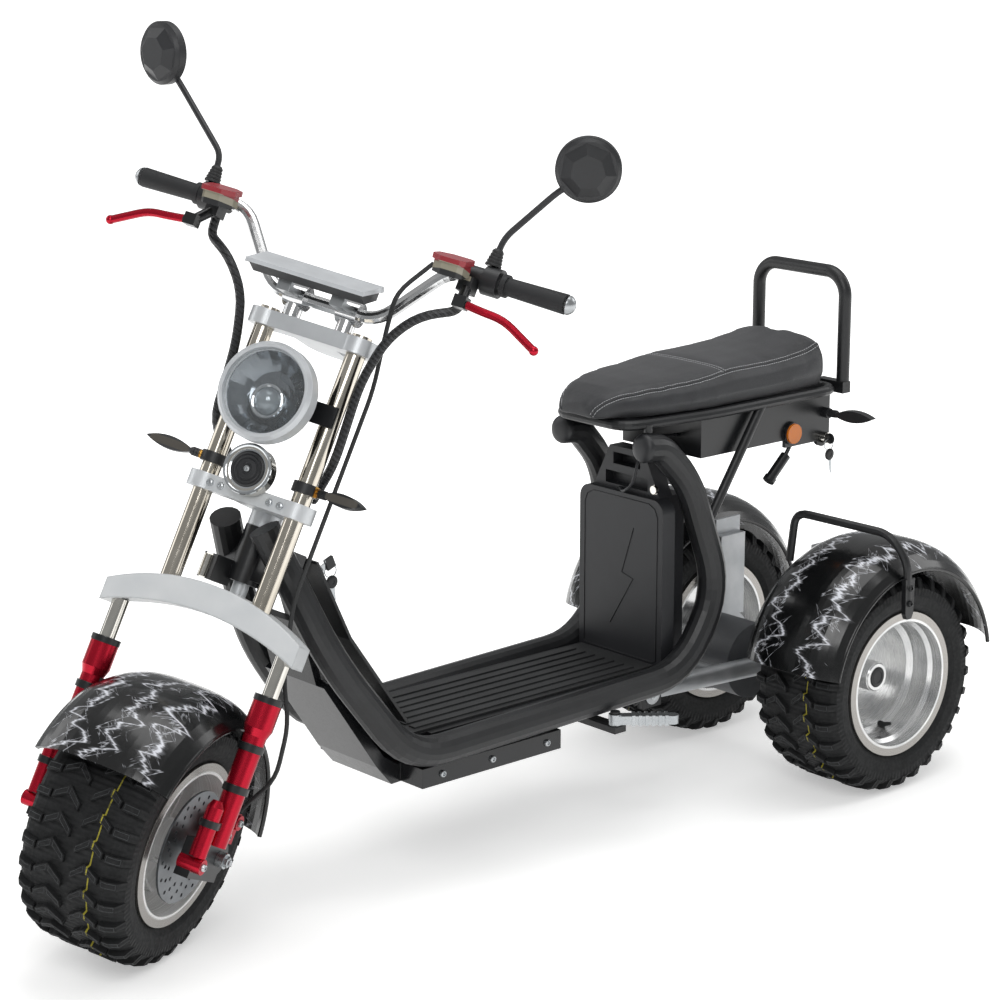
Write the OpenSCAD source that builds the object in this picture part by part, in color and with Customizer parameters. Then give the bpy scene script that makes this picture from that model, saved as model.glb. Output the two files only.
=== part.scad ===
/* [Wheels] */
// Radius of every tyre, out to the tips of its lugs
wheel_r = 215; // [205:1:222]
// Width of every tyre at its widest
tyre_w = 200; // [196:1:212]
// Radius of the rim flange, a 10 inch rim
rim_r = 141; // [138:1:144]
// Distance from the front axle to the rear axle
wheelbase = 1538; // [1520:1:1580]
// Distance from the middle of the trike to the middle of a rear tyre
rear_half_track = 241; // [239:1:250]
// Radius of the front brake disc
disc_r = 96; // [85:1:100]
/* [Steering] */
// Angle of the steering axis from the vertical
rake = 27.4; // [26:0.1:28.5]
// Turn of the steering at rest, to the left, as the trike is parked
steer_angle = 26; // [20:0.5:30]
// Distance of the steering axis behind the front axle
axis_back = 45; // [40:1:50]
// Distance of the fork legs ahead of the front axle
leg_ahead = 38; // [34:1:42]
// Half distance between the polished upper legs
leg_half = 87; // [84:1:92]
// Half distance between the red lower legs
lower_half = 156; // [154:1:162]
// Height of the top clamp's underside along the fork
top_clamp_z = 842; // [825:1:860]
// Height of the middle clamp's underside along the fork
mid_clamp_z = 554; // [546:1:562]
// Half width across the ends of the grips
grip_end_x = 412; // [400:1:425]
// Height of the grips along the fork
grip_z = 1024; // [1010:1:1040]
/* [Frame] */
// Outer radius of the two main frame tubes
frame_tube_r = 27; // [24:0.5:28]
// Half distance between the frame tubes along the floor
floor_tube_x = 140; // [138:1:146]
// Height of the frame tubes along the floor above the axles
floor_tube_z = 47; // [44:1:52]
// Height of the seat rail above the axles
rail_z = 520; // [514:1:526]
// Half width of the grab rail
grab_half = 112; // [106:1:118]
// Height of the grab rail's top above the axles
grab_top_z = 757; // [730:1:780]
/* [Seat and battery] */
// Width of the seat at its rear cushion
seat_w = 264; // [250:1:270]
// Height of the rear cushion above the seat base
seat_rear_h = 100; // [92:1:110]
// Height of the front cushion above the seat base
seat_front_h = 52; // [46:1:60]
// Width of the battery pack
battery_w = 222; // [210:1:224]
/* [Fenders] */
// Radius of the rear fenders at their crown
rear_fender_r = 266; // [258:1:272]
// Width of a rear fender
rear_fender_w = 236; // [232:1:242]
// Radius of the front fender at its crown
front_fender_r = 250; // [246:1:256]
// Width of the front fender
front_fender_w = 250; // [244:1:252]
/* [Hidden] */
$fn = 64;
// Air between pieces of one body that only meet
gap = 0.3;
// Radial air of a shaft that turns in its bore
run = 0.05;
black = "#1b1c1e";
gloss_black = "#101114";
silver = "#c3c8cc";
chrome = "#c9c2b4";
red = "#c0152b";
rubber = "#17181a";
bright = "#b9bdc1";
// Thickness of a tyre's tread with its lugs
tread_t = 18;
// Lugs round each side of a tyre: how many, how deep, and the spread of a chevron along the tread
lug_rows = 31;
lug_h = 9;
chevron_reach = 17;
// Rim
rim_half = 92;
flange_t = 6;
barrel_r = rim_r - 13;
barrel_t = 6;
// The origin is on the ground, halfway along the trike
rear_axle_y = (wheelbase - 38) / 2;
// Upward component of the steered front axle, and the lift that keeps its tyre on the ground
axle_tilt = sin(steer_angle) * sin(rake);
front_lift = max([for (p = tyre_half()) p[0] * sqrt(1 - axle_tilt * axle_tilt) + p[1] * axle_tilt])
    - wheel_r + axis_back * (1 - cos(steer_angle)) * sin(rake);
// Fork
leg_r = 17;
inner_tube_r = 14;
lower_r = 19;
lower_top_r = 24;
stem_r = 14;
head_top_z = mid_clamp_z - 26;
clamp_t = 27;
bridge_top_z = 411;
bridge_h = 48;
bridge_drop = 46;
bridge_half = lower_half + 28;
bridge_depth = 44;
axle_r = 8;
plate_x = 128;
// Rear axle
stub_r = 12.5;
// Handlebar
bar_r = 11.1;
bar_z = top_clamp_z + 65;
riser_x = 50;
riser_r = 16;
bar_clamp_r = 21;
grip_r = 16;
grip_in_x = 290;
// Tail box under the seat rail, and the bracket behind it
rail_r = 10;
rail_axis_z = rail_z + 16;
tail_half = 104;
tail_y = [-320, -88];
tail_z = [rail_z - 69, rail_axis_z - rail_r - gap];
bracket_y = 34;
// Rear fenders
rear_fender_angles = [12, 170];
front_fender_angles = [20, 168];

function unit(v) = v / norm(v);
// Chassis y of a point that lies a distance behind the front axle
function behind_front(d) = d - wheelbase;
function mirrored(path) = [for (p = path) [-p[0], p[1], p[2]]];
// A path with each inner corner rounded over the length d on both sides
function rounded(p, d, n = 6) = concat(
    [p[0]],
    [for (i = [1 : len(p) - 2])
        let (before = p[i - 1] - p[i], after = p[i + 1] - p[i])
        let (e = min(d, 0.48 * norm(before), 0.48 * norm(after)))
        let (a = p[i] + unit(before) * e, b = p[i] + unit(after) * e)
        for (k = [0 : n]) let (t = k / n) (1 - t) * (1 - t) * a + 2 * t * (1 - t) * p[i] + t * t * b],
    [p[len(p) - 1]]);

// Round tube swept along a path, with rings turned from the reference direction
module tube(path, r, ref = [1, 0, 0], sides = 14) {
    n = len(path);
    rings = [for (i = [0 : n - 1])
        let (t = unit(path[min(i + 1, n - 1)] - path[max(i - 1, 0)]))
        let (a = unit(cross(t, ref)), b = cross(t, a))
        for (j = [0 : sides - 1]) path[i] + r * (cos(360 * j / sides) * a + sin(360 * j / sides) * b)];
    walls = [for (i = [0 : n - 2]) for (j = [0 : sides - 1])
        let (k = (j + 1) % sides)
        [i * sides + j, (i + 1) * sides + j, (i + 1) * sides + k, i * sides + k]];
    ends = [[for (j = [0 : sides - 1]) j], [for (j = [sides - 1 : -1 : 0]) (n - 1) * sides + j]];
    polyhedron(points = rings, faces = concat(walls, ends), convexity = 6);
}
module box(x, y, z) {
    translate([x[0], y[0], z[0]]) cube([x[1] - x[0], y[1] - y[0], z[1] - z[0]]);
}
module rod_x(x, y, z, r) {
    translate([x[0], y, z]) rotate([0, 90, 0]) cylinder(r = r, h = x[1] - x[0]);
}
// Straight bar between two points
module bar(a, b, r) {
    d = b - a;
    translate(a) rotate([0, acos(d[2] / norm(d)), atan2(d[1], d[0])]) cylinder(r = r, h = norm(d));
}
// Chassis frame: from the middle of the rear axle
module chassis() {
    translate([0, rear_axle_y, wheel_r]) children();
}
// Fork frame: x to the left, -y ahead, z up along the fork, from the front axle
module fork_frame() {
    chassis() translate([0, -wheelbase, front_lift]) rotate([-rake, 0, 0]) children();
}
module steered() {
    fork_frame() translate([0, axis_back, 0]) rotate([0, 0, steer_angle])
        translate([0, -axis_back, 0]) children();
}
module side(s) {
    if (s > 0) children();
    else mirror([1, 0, 0]) children();
}
module rear_wheel_frame(s) {
    chassis() side(s) translate([rear_half_track, 0, 0]) rotate([0, 90, 0]) children();
}
module front_wheel_frame() {
    steered() rotate([0, 90, 0]) children();
}

// Wheels, turned about the local z axis, with z pointing outward

// Half section of the tyre from its bead to the crown, at a depth below the tips of its lugs
function tyre_half(depth = 0) = let (w = tyre_w / 2 - depth / 5) [
    [barrel_r + gap, rim_half - flange_t - gap], [rim_r + 1, rim_half - flange_t - gap],
    [rim_r + 3, w - 10], [rim_r + 14, w - 3], [rim_r + 31, w], [rim_r + 47, w - 1],
    [wheel_r - 15 - depth / 2, w - 5 - depth / 2], [wheel_r - 7 - depth, w - 13 - depth / 2],
    [wheel_r - 2.5 - depth, w - 26 - depth / 2], [wheel_r - depth, w - 60]];
module tyre() {
    half = tyre_half(lug_h);
    n = len(half);
    w = tyre_w / 2 - tread_t;
    rotate_extrude() difference() {
        polygon(concat(half, [for (i = [n - 1 : -1 : 0]) [half[i][0], -half[i][1]]]));
        polygon([for (s = [-1, 1]) for (q = s < 0 ? [0 : 3] : [3 : -1 : 0])
            [[barrel_r - 1, rim_r + 6, rim_r + 30, wheel_r - tread_t][q], s * [w - 25, w - 17, w, w - 24][q]]]);
    }
    for (i = [0 : lug_rows - 1]) for (s = [-1, 1])
        rotate([0, 0, (i + s / 4) * 360 / lug_rows]) {
            if (s > 0) lug_pair();
            else mirror([0, 0, 1]) lug_pair();
        }
}
// A chevron block beside the crown, and the block that goes on from it down the shoulder
module lug_pair() {
    root = wheel_r - lug_h - 4;
    tip = sqrt(wheel_r * wheel_r - chevron_reach * chevron_reach);
    v = chevron_reach;
    shoulder = tyre_w / 2;
    translate([root, 0, 0]) rotate([0, 90, 0]) linear_extrude(height = tip - root)
        polygon([[-7, v], [-33, -3], [-58, v - 6], [-58, v - 18], [-33, -v], [-7, v - 12]]);
    rotate([0, 0, 1.6]) rotate([90, 0, 0]) linear_extrude(height = 13, center = true)
        polygon([[root - 4, shoulder - 37], [wheel_r - 2.4, shoulder - 37], [wheel_r - 2.9, shoulder - 25],
            [wheel_r - 10, shoulder - 9], [rim_r + 46, shoulder - 0.5], [rim_r + 44, shoulder - 8]]);
}
// Barrel and flanges shared by all rims
module rim_barrel() {
    rotate_extrude() {
        translate([barrel_r - barrel_t, -rim_half]) square([barrel_t, 2 * rim_half]);
        for (z = [-rim_half, rim_half - flange_t])
            translate([barrel_r - 1, z]) square([rim_r - barrel_r + 1, flange_t]);
    }
}
module front_tyre() {
    color(rubber) front_wheel_frame() tyre();
}
module front_rim() {
    color(bright) front_wheel_frame() difference() {
        union() {
            rim_barrel();
            translate([0, 0, -5]) cylinder(r = barrel_r - 2, h = 10);
            translate([0, 0, -96]) cylinder(r = hub_r, h = 192);
            for (i = [0 : rib_count - 1])
                rotate([0, 0, i * 360 / rib_count]) web_rib();
        }
        translate([0, 0, -100]) cylinder(r = axle_r + run, h = 200);
    }
}
hub_r = 34;
rib_count = 12;
rib_t = 5;
rib_half = 30;
// Rib of the web that curves from the hub out to the barrel
module web_rib() {
    bend_r = 110;
    from = [hub_r - 2, 0];
    to = (barrel_r - barrel_t / 2) * [cos(40), sin(40)];
    along = to - from;
    middle = (from + to) / 2 + sqrt(bend_r * bend_r - along * along / 4) * [-along[1], along[0]] / norm(along);
    start = atan2(from[1] - middle[1], from[0] - middle[0]);
    sweep = 2 * asin(norm(along) / 2 / bend_r);
    translate([middle[0], middle[1], -rib_half]) rotate([0, 0, start]) rotate_extrude(angle = sweep)
        translate([bend_r - rib_t / 2, 0]) square([rib_t, 2 * rib_half]);
}
module brake_disc() {
    color("#4a4d50") front_wheel_frame() translate([0, 0, 96 + gap]) difference() {
        cylinder(r = disc_r, h = 4);
        translate([0, 0, -1]) cylinder(r = axle_r + gap, h = 6);
        for (i = [0 : 15]) for (k = [0 : 2])
            rotate([0, 0, i * 360 / 16 + k * 8]) translate([disc_r - 10 - k * 11, 0, -1]) cylinder(r = 3.5, h = 6);
    }
}
module rear_tyre(s) {
    color(rubber) rear_wheel_frame(s) tyre();
}
module rear_rim(s) {
    color(bright) rear_wheel_frame(s) difference() {
        union() {
            rim_barrel();
            rotate_extrude() rim_steps();
            translate([0, 0, web_z]) cylinder(r = barrel_r - 2, h = 10);
            translate([0, 0, -60]) cylinder(r = 40, h = 60 + web_z);
            translate([0, 0, web_z - 1]) cylinder(r = boss_r, h = boss_end - web_z - 2);
            translate([0, 0, boss_end - 4]) cylinder(r1 = boss_r, r2 = boss_r - 3, h = 4);
        }
        translate([0, 0, -61]) cylinder(r = stub_r + run, h = 71);
        translate([0, 0, boss_end - 6]) cylinder(r = boss_r - 9, h = 10);
    }
}
web_z = -22;
boss_r = 29;
boss_end = 34;
// Two steps inside the dish, from the flange down to the web
module rim_steps() {
    wall = barrel_r - barrel_t + 1;
    polygon([[wall, rim_half - 22], [wall - 8, rim_half - 30], [wall - 8, 26], [wall - 19, 18], [wall - 19, web_z + 9], [wall, web_z + 9]]);
}
module rear_tyre_left() {
    rear_tyre(1);
}
module rear_tyre_right() {
    rear_tyre(-1);
}
module rear_rim_left() {
    rear_rim(1);
}
module rear_rim_right() {
    rear_rim(-1);
}

// Frame

tube_path = rounded([
    [54, behind_front(247), 475], [114, behind_front(333), 245], [floor_tube_x, behind_front(478), floor_tube_z - 2],
    [floor_tube_x, -400, floor_tube_z + 13], [136, -300, 205], [116, -365, rail_z - 100],
    [109, -432, rail_z - 30], [108, -470, rail_z - 26]], 78);
module frame_tube_left() {
    chassis() color(black) tube(tube_path, frame_tube_r, sides = 16);
}
module frame_tube_right() {
    chassis() color(black) tube(mirrored(tube_path), frame_tube_r, sides = 16);
}
// Head tube with its cheeks out to the frame tubes and a steering lock ahead of it
module head_tube() {
    color(black) difference() {
        fork_frame() translate([0, axis_back, 0]) difference() {
            union() {
                translate([0, 0, 432]) cylinder(r = 28, h = head_top_z - 432);
                box([-62, 62], [-8, 60], [440, 510]);
                box([-44, -8], [-61, -20], [418, 462]);
                translate([-30, -62, 420]) cylinder(r = 8, h = 38);
            }
            translate([0, 0, 400]) cylinder(r = stem_r + run, h = 200);
        }
        chassis() {
            tube(tube_path, frame_tube_r + gap, sides = 16);
            tube(mirrored(tube_path), frame_tube_r + gap, sides = 16);
        }
    }
}
floor_y = [behind_front(498), -345];
// Outline of the floor from the front: half width and the place where it ends
floor_steps = [[100, behind_front(553)], [floor_tube_x - frame_tube_r - gap, -485], [111, -420], [100, floor_y[1]]];
module floor_pan() {
    plate_z = [peg_z - 13, peg_z - 1];
    edge = [for (i = [0 : 3]) each [[floor_steps[i][0], i == 0 ? floor_y[0] : floor_steps[i - 1][1]], floor_steps[i]]];
    chassis() color(black) {
        translate([0, 0, floor_tube_z]) linear_extrude(height = 21)
            polygon(concat(edge, [for (i = [len(edge) - 1 : -1 : 0]) [-edge[i][0], edge[i][1]]]));
        box([-70, 70], [peg_y - 14, peg_y + 14], [plate_z[0], floor_tube_z + 5]);
        for (s = [-1, 1]) side(s) {
            box([60, peg_x + 14], [peg_y - 14, peg_y + 14], plate_z);
            translate([peg_x, peg_y, plate_z[1] - 1]) cylinder(r = peg_pin_r, h = peg_h + 6);
            translate([peg_x, peg_y, peg_z + peg_h + 1]) cylinder(r = peg_pin_r + 4, h = 4);
            difference() {
                box([arm_x + arm_r + 2, arm_x + arm_r + 10], [pivot_y - 24, pivot_y + 24], [pivot_z - 24, floor_tube_z + 10]);
                rod_x([arm_x, arm_x + arm_r + 20], pivot_y, pivot_z, pivot_r + gap);
            }
        }
    }
}
module floor_mat() {
    mat_z = floor_tube_z + 21 + gap;
    mat_end = battery_y[0] - 6;
    chassis() color(rubber) {
        box([-98, 98], [floor_y[0] + 6, mat_end], [mat_z, mat_z + 4]);
        for (i = [-3 : 3])
            box([i * 26 - 8, i * 26 + 8], [floor_y[0] + 40, mat_end - 40], [mat_z + 3, mat_z + 7]);
    }
}
// Front panel between the down tubes that runs on as a tray under the floor
module belly_panel() {
    chassis() color("#232427") translate([0, -wheelbase, 0]) {
        rotate([90, 0, 90]) translate([0, 0, -82]) linear_extrude(height = 164)
            polygon([[344, 186], [456, 20], [488, -18], [838, -4], [838, 16], [500, 16], [472, 36], [356, 194]]);
        rotate([90, 0, 90]) translate([0, 0, -60]) linear_extrude(height = 120)
            polygon([[312, 300], [344, 186], [356, 194], [326, 304]]);
        for (s = [-1, 1]) side(s) box([80, 142], [508, 832], [-16, floor_tube_z - frame_tube_r - 2 * gap]);
    }
}
// Cover plate on the rider's side of the down tubes
module leg_shield() {
    chassis() color(black) {
        hull() {
            translate([-70, behind_front(342), 400]) cube([140, 4, 4]);
            translate([-88, behind_front(396), 262]) cube([176, 4, 4]);
        }
        hull() {
            translate([-88, behind_front(396), 262]) cube([176, 4, 4]);
            translate([-108, behind_front(502), 96]) cube([216, 4, 4]);
        }
    }
    color(black) fork_frame() translate([0, axis_back, 0]) box([-20, 20], [60 + gap, 98], [470, 492]);
}
module ignition_lock() {
    chassis() color("#8d9196") translate([30, behind_front(360.6), 368]) rotate([-68, 0, 0]) {
        cylinder(r = 13, h = 16);
        translate([0, 0, 15]) cylinder(r = 10, h = 6);
        translate([-1, -6, 20]) cube([2, 12, 16]);
        translate([-3, -10, 34]) cube([6, 20, 18]);
    }
}
// Battery: an upright front plate with round top corners, a body between the tubes, and a cap
// that narrows upward with a hand grip cut into it
battery_y = [-424, -340];
battery_plate_t = 32;
battery_body_half = 82;
module battery_pack() {
    w = battery_w / 2;
    base_z = floor_tube_z + 21 + gap;
    corner = 26;
    plate_h = 317;
    cap_h = 398;
    cap_y = [battery_y[0] + 14, battery_y[0] + 48];
    chassis() color("#25262a") {
        translate([0, battery_y[0] + battery_plate_t, base_z]) rotate([90, 0, 0]) linear_extrude(height = battery_plate_t) {
            translate([-w, 0]) square([2 * w, plate_h - corner]);
            translate([-w + corner, 0]) square([2 * (w - corner), plate_h]);
            for (s = [-1, 1])
                translate([s * (w - corner), plate_h - corner]) circle(r = corner);
        }
        box([-battery_body_half, battery_body_half], [battery_y[0] + battery_plate_t - 1, battery_y[1]], [base_z, base_z + plate_h]);
        difference() {
            translate([0, cap_y[1], base_z]) rotate([90, 0, 0]) linear_extrude(height = cap_y[1] - cap_y[0])
                polygon([[-88, plate_h - 2], [88, plate_h - 2], [46, cap_h], [-46, cap_h]]);
            box([-36, 36], [cap_y[0] - 1, cap_y[1] - 8], [base_z + cap_h - 34, base_z + cap_h - 12]);
            box([-56, 56], [cap_y[0] - 1, cap_y[1] - 14], [base_z + plate_h + 8, base_z + plate_h + 32]);
        }
        translate([76, cap_y[0] + 1, base_z + plate_h + 16]) rotate([90, 0, 0]) cylinder(r = 8, h = 7);
        tube(rounded([[40, tail_y[0] - gap, 486], [44, -396, 492], [58, -440, 452], [50, -442, 412], [22, -440, 392],
            [-20, cap_y[0] + 2, base_z + plate_h + 3]], 22, 4), 3, [1, 0, 0], 8);
    }
}
rail_path = rounded([
    [-30, 36, rail_axis_z], [118, 36, rail_axis_z], [118, -300, rail_axis_z], [92, -505, rail_axis_z],
    [-92, -505, rail_axis_z], [-118, -300, rail_axis_z], [-118, 36, rail_axis_z], [-31, 36, rail_axis_z]], 40);
module seat_rail() {
    post_z = rail_z - 26 + frame_tube_r + gap;
    chassis() color(black) {
        tube(rail_path, rail_r, [0, 0, 1], 12);
        for (s = [-1, 1]) side(s) {
            difference() {
                bar([118, -172, rail_axis_z], [124, -324, rail_z - 196], 9);
                tube(tube_path, frame_tube_r + gap, sides = 16);
            }
            translate([104, -458, post_z]) cylinder(r = 8, h = rail_axis_z - post_z);
        }
    }
}
// Seat: a long front cushion that steps up to a rear cushion
module seat() {
    base_z = rail_z + 26 + gap;
    w = seat_w / 2;
    chassis() color(rubber) {
        hull() {
            for (s = [-1, 1]) {
                translate([s * (w - 76), -490, base_z]) cylinder(r = 40, h = 30, $fn = 32);
                translate([s * (w - 80), -486, base_z + seat_front_h - 18]) sphere(r = 26, $fn = 24);
                translate([s * (w - 20), -270, base_z]) cylinder(r = 20, h = 30, $fn = 24);
                translate([s * (w - 46), -280, base_z + seat_front_h]) sphere(r = 16, $fn = 24);
            }
        }
        hull() {
            for (s = [-1, 1]) {
                translate([s * (w - 20), -290, base_z]) cylinder(r = 20, h = 30, $fn = 24);
                translate([s * (w - 40), -238, base_z + seat_rear_h - 28]) sphere(r = 22, $fn = 24);
                translate([s * (w - 44), -24, base_z + seat_rear_h - 24]) sphere(r = 24, $fn = 24);
                translate([s * (w - 46), -30, base_z]) cylinder(r = 46, h = 40, $fn = 32);
            }
        }
    }
}
grab_r = 12.5;
grab_y = 46;
// Hoop behind the seat: two legs, a straight top bar and round corners
module grab_rail() {
    corner_r = 46;
    leg_z = [rail_z + 27, grab_top_z - corner_r];
    chassis() color(black) translate([0, grab_y + 14, 0]) {
        for (s = [-1, 1]) side(s) {
            translate([grab_half, 0, leg_z[0]]) cylinder(r = grab_r, h = leg_z[1] - leg_z[0]);
            translate([grab_half - corner_r, 0, leg_z[1]]) rotate([90, 0, 0])
                rotate_extrude(angle = 90) translate([corner_r, 0]) circle(r = grab_r);
            box([56, grab_half + 13], [-14 + gap, 8], [rail_z + 6, rail_z + 28]);
        }
        rod_x([-grab_half + corner_r, grab_half - corner_r], 0, grab_top_z, grab_r);
    }
}
// Box under the seat, with side plates behind it that carry reflectors, a lock on a round tab,
// a hanging plug and a cross plate
tail_lock = [15, rail_z - 78];
module tail_box() {
    plate_t = 8;
    plate_z = [rail_z - 84, tail_z[1]];
    chassis() color(black) {
        box([-tail_half, tail_half], tail_y, tail_z);
        for (s = [-1, 1]) side(s)
            box([tail_half - plate_t, tail_half], [tail_y[1] - 2, bracket_y], plate_z);
        box([-tail_half, tail_half], [bracket_y - plate_t, bracket_y], [plate_z[0], rail_z - 10]);
    }
    for (s = [-1, 1])
        chassis() side(s) {
            color(black) rod_x([tail_half - 1, tail_half + 7], tail_y[1] + 13, rail_z - 57, 22);
            color("#d07a1a") rod_x([tail_half + 6, tail_half + 11], tail_y[1] + 13, rail_z - 57, 19);
        }
    chassis() color(black) rod_x([tail_half - plate_t, tail_half], tail_lock[0], tail_lock[1], 18);
    chassis() color(bright) rod_x([tail_half - 1, tail_half + 14], tail_lock[0], tail_lock[1], 11);
    chassis() color(black) {
        bar([100, tail_y[1] + 16, plate_z[0] + 2], [100, tail_y[1] + 2, plate_z[0] - 18], 4);
        bar([100, tail_y[1] + 4, plate_z[0] - 16], [100, tail_y[1] - 42, plate_z[0] - 58], 10);
        bar([100, tail_y[1] - 36, plate_z[0] - 52.5], [100, tail_y[1] - 43, plate_z[0] - 59], 12);
    }
    chassis() color("#b01c22") box([-48, 48], [36 + rail_r + gap, 36 + rail_r + 12], [rail_axis_z - 8, rail_axis_z + 8]);
}
// Slim leaf-shaped turn signal that points along +x, on a ribbed stem
leaf_half = 42;
leaf_h = 11;
module leaf_signal(stem) {
    leaf_r = (leaf_half * leaf_half + leaf_h * leaf_h) / (2 * leaf_h);
    rod_x([0, stem], 0, 0, 6);
    for (i = [1 : 4])
        rod_x([stem * i / 5 - 2, stem * i / 5 + 2], 0, 0, 7.5);
    translate([stem - 6, 0, 0]) rotate([90, 0, 0]) translate([0, 0, -9]) linear_extrude(height = 18)
        intersection() {
            translate([leaf_half, leaf_h - leaf_r]) circle(r = leaf_r);
            translate([leaf_half, leaf_r - leaf_h]) circle(r = leaf_r);
        }
}
module rear_signal(s) {
    chassis() color(rubber) side(s) translate([tail_half + gap, 20, rail_z - 30]) {
        rod_x([0, 12], 0, 0, 10);
        translate([8, 0, 0]) rotate([0, 0, 12]) leaf_signal(22);
    }
}
module rear_signal_left() {
    rear_signal(1);
}
module rear_signal_right() {
    rear_signal(-1);
}
arm_x = 82;
arm_r = 19;
pivot_y = -446;
pivot_z = floor_tube_z - 26;
pivot_r = 18;
module swing_arm() {
    chassis() color(bright) {
        rod_x([-arm_x - arm_r - 13, arm_x + arm_r + 13], pivot_y, pivot_z, pivot_r);
        for (s = [-1, 1]) side(s) {
            bar([arm_x, pivot_y, pivot_z], [arm_x, -30, 0], arm_r);
            box([arm_x - 22, arm_x + 22], [-62, -25 - gap], [-26, 26]);
        }
        bar([-arm_x, -250, 14], [arm_x, -250, 14], 14);
    }
}
axle_tube_r = 25;
module axle_housing() {
    chassis() color(bright) {
        rod_x([-114, 114], 0, 0, axle_tube_r);
        for (s = [-1, 1]) side(s) {
            rod_x([113, 122], 0, 0, 46);
            rod_x([121, rear_half_track - 8], 0, 0, stub_r);
            box([112, 118], [-34, 34], [40, 208]);
            box([112, fender_x - rear_fender_w / 2 - gap], [-34, 34], [204, 208]);
            box([127, fender_x - rear_fender_w / 2 - gap], [-34, 34], [204, 240]);
        }
    }
}
module drive_motor() {
    chassis() color("#55585c") {
        rod_x([-52, 52], -110, 4, 74);
        box([-30, 30], [-60, -25 - gap], [-20, 24]);
    }
}
// Section of a fender: crowned shell with rolled sides, as [radius, offset] points
function fender_curve(r, w, drop, n) = [for (i = [-n : n])
    [r - drop * pow(abs(i / n), 3.2), i / n * w / 2]];
module fender_shell(r, w, drop, t) {
    n = 9;
    outer = fender_curve(r, w, drop, n);
    inner = fender_curve(r - t, w - 2 * t, drop, n);
    polygon(concat(outer, [for (i = [2 * n : -1 : 0]) inner[i]]));
    for (s = [-1, 1])
        translate([r - drop - 1, s * (w / 2 - lip_r - 0.1)]) circle(r = lip_r);
}
lip_r = 4;
fender_lift = 10;
fender_x = rear_half_track + 11;
module rear_fender(s) {
    chassis() color(gloss_black) side(s) translate([fender_x, 0, fender_lift]) rotate([0, -90, 0]) rotate([0, 0, 90])
        rotate([0, 0, -180]) rotate([0, 0, rear_fender_angles[0] - 90 + 90])
        rotate_extrude(angle = rear_fender_angles[1] - rear_fender_angles[0])
            fender_shell(rear_fender_r, rear_fender_w, 44, 4);
}
module rear_fender_left() {
    rear_fender(1);
}
module rear_fender_right() {
    rear_fender(-1);
}
guard_r = 8;
guard_x = fender_x + rear_fender_w / 2 + guard_r + gap;
guard_path = rounded([
    [150, -120, 228.6], [150, -106, 322], [340, -54, 306], [guard_x, -46, 258], [guard_x, -42, 186]], 26);
module fender_guard(s) {
    chassis() color(black) side(s) {
        tube(guard_path, guard_r, [0.3, 0.9, -0.3], 10);
        translate([guard_x - 5, -42, 192]) rotate([90, 0, 90]) linear_extrude(height = 10)
            polygon([[-13, 34], [13, 34], [11, -34], [6, -44], [-6, -44], [-11, -34]]);
    }
}
module fender_guard_left() {
    fender_guard(1);
}
module fender_guard_right() {
    fender_guard(-1);
}
// Folding pegs, parked halfway back on their upright pins
peg_x = 172;
peg_y = -600;
peg_z = floor_tube_z - 35 + 1;
peg_fold = 50;
peg_h = 20;
peg_pin_r = 5;
module footpeg(s) {
    chassis() color(silver) side(s) translate([peg_x, peg_y, peg_z]) rotate([0, 0, peg_fold]) difference() {
        union() {
            cylinder(r = 12, h = peg_h);
            box([0, 104], [-11, 11], [2, peg_h - 2]);
            for (i = [0 : 5])
                box([30 + i * 12, 36 + i * 12], [-13, 13], [0, peg_h]);
            translate([104, 0, 2]) cylinder(r = 11, h = peg_h - 4);
        }
        translate([0, 0, -1]) cylinder(r = peg_pin_r + run, h = peg_h + 2);
    }
}
module footpeg_left() {
    footpeg(1);
}
module footpeg_right() {
    footpeg(-1);
}

// Fork

module fork_leg(s) {
    color(chrome) steered() translate([s * leg_half, -leg_ahead, bridge_top_z - 30])
        cylinder(r = leg_r, h = top_clamp_z + clamp_t + 6 - bridge_top_z + 30);
}
module fork_leg_left() {
    fork_leg(1);
}
module fork_leg_right() {
    fork_leg(-1);
}
// Plate that holds both legs and reaches back to the steering axis
module clamp_plate(z, t) {
    difference() {
        union() {
            for (s = [-1, 1])
                translate([s * leg_half, -leg_ahead, z]) cylinder(r = 30, h = t);
            box([-leg_half, leg_half], [-leg_ahead - 26, -leg_ahead + 26], [z, z + t]);
            box([-40, 40], [-leg_ahead + 20, axis_back], [z, z + t]);
            translate([0, axis_back, z]) cylinder(r = 40, h = t);
        }
        for (s = [-1, 1])
            translate([s * leg_half, -leg_ahead, z - 1]) cylinder(r = leg_r + gap, h = t + 2);
    }
}
module top_clamp() {
    color(silver) steered() {
        clamp_plate(top_clamp_z, clamp_t);
        translate([0, axis_back, top_clamp_z + clamp_t - 1]) cylinder(r = 24, h = 12);
    }
}
module mid_clamp() {
    color(silver) steered() {
        clamp_plate(mid_clamp_z, clamp_t);
        translate([0, axis_back, head_top_z + gap]) cylinder(r = 27, h = mid_clamp_z + 2 - head_top_z);
        translate([0, axis_back, 386]) cylinder(r = stem_r, h = mid_clamp_z - 380);
    }
}
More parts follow.
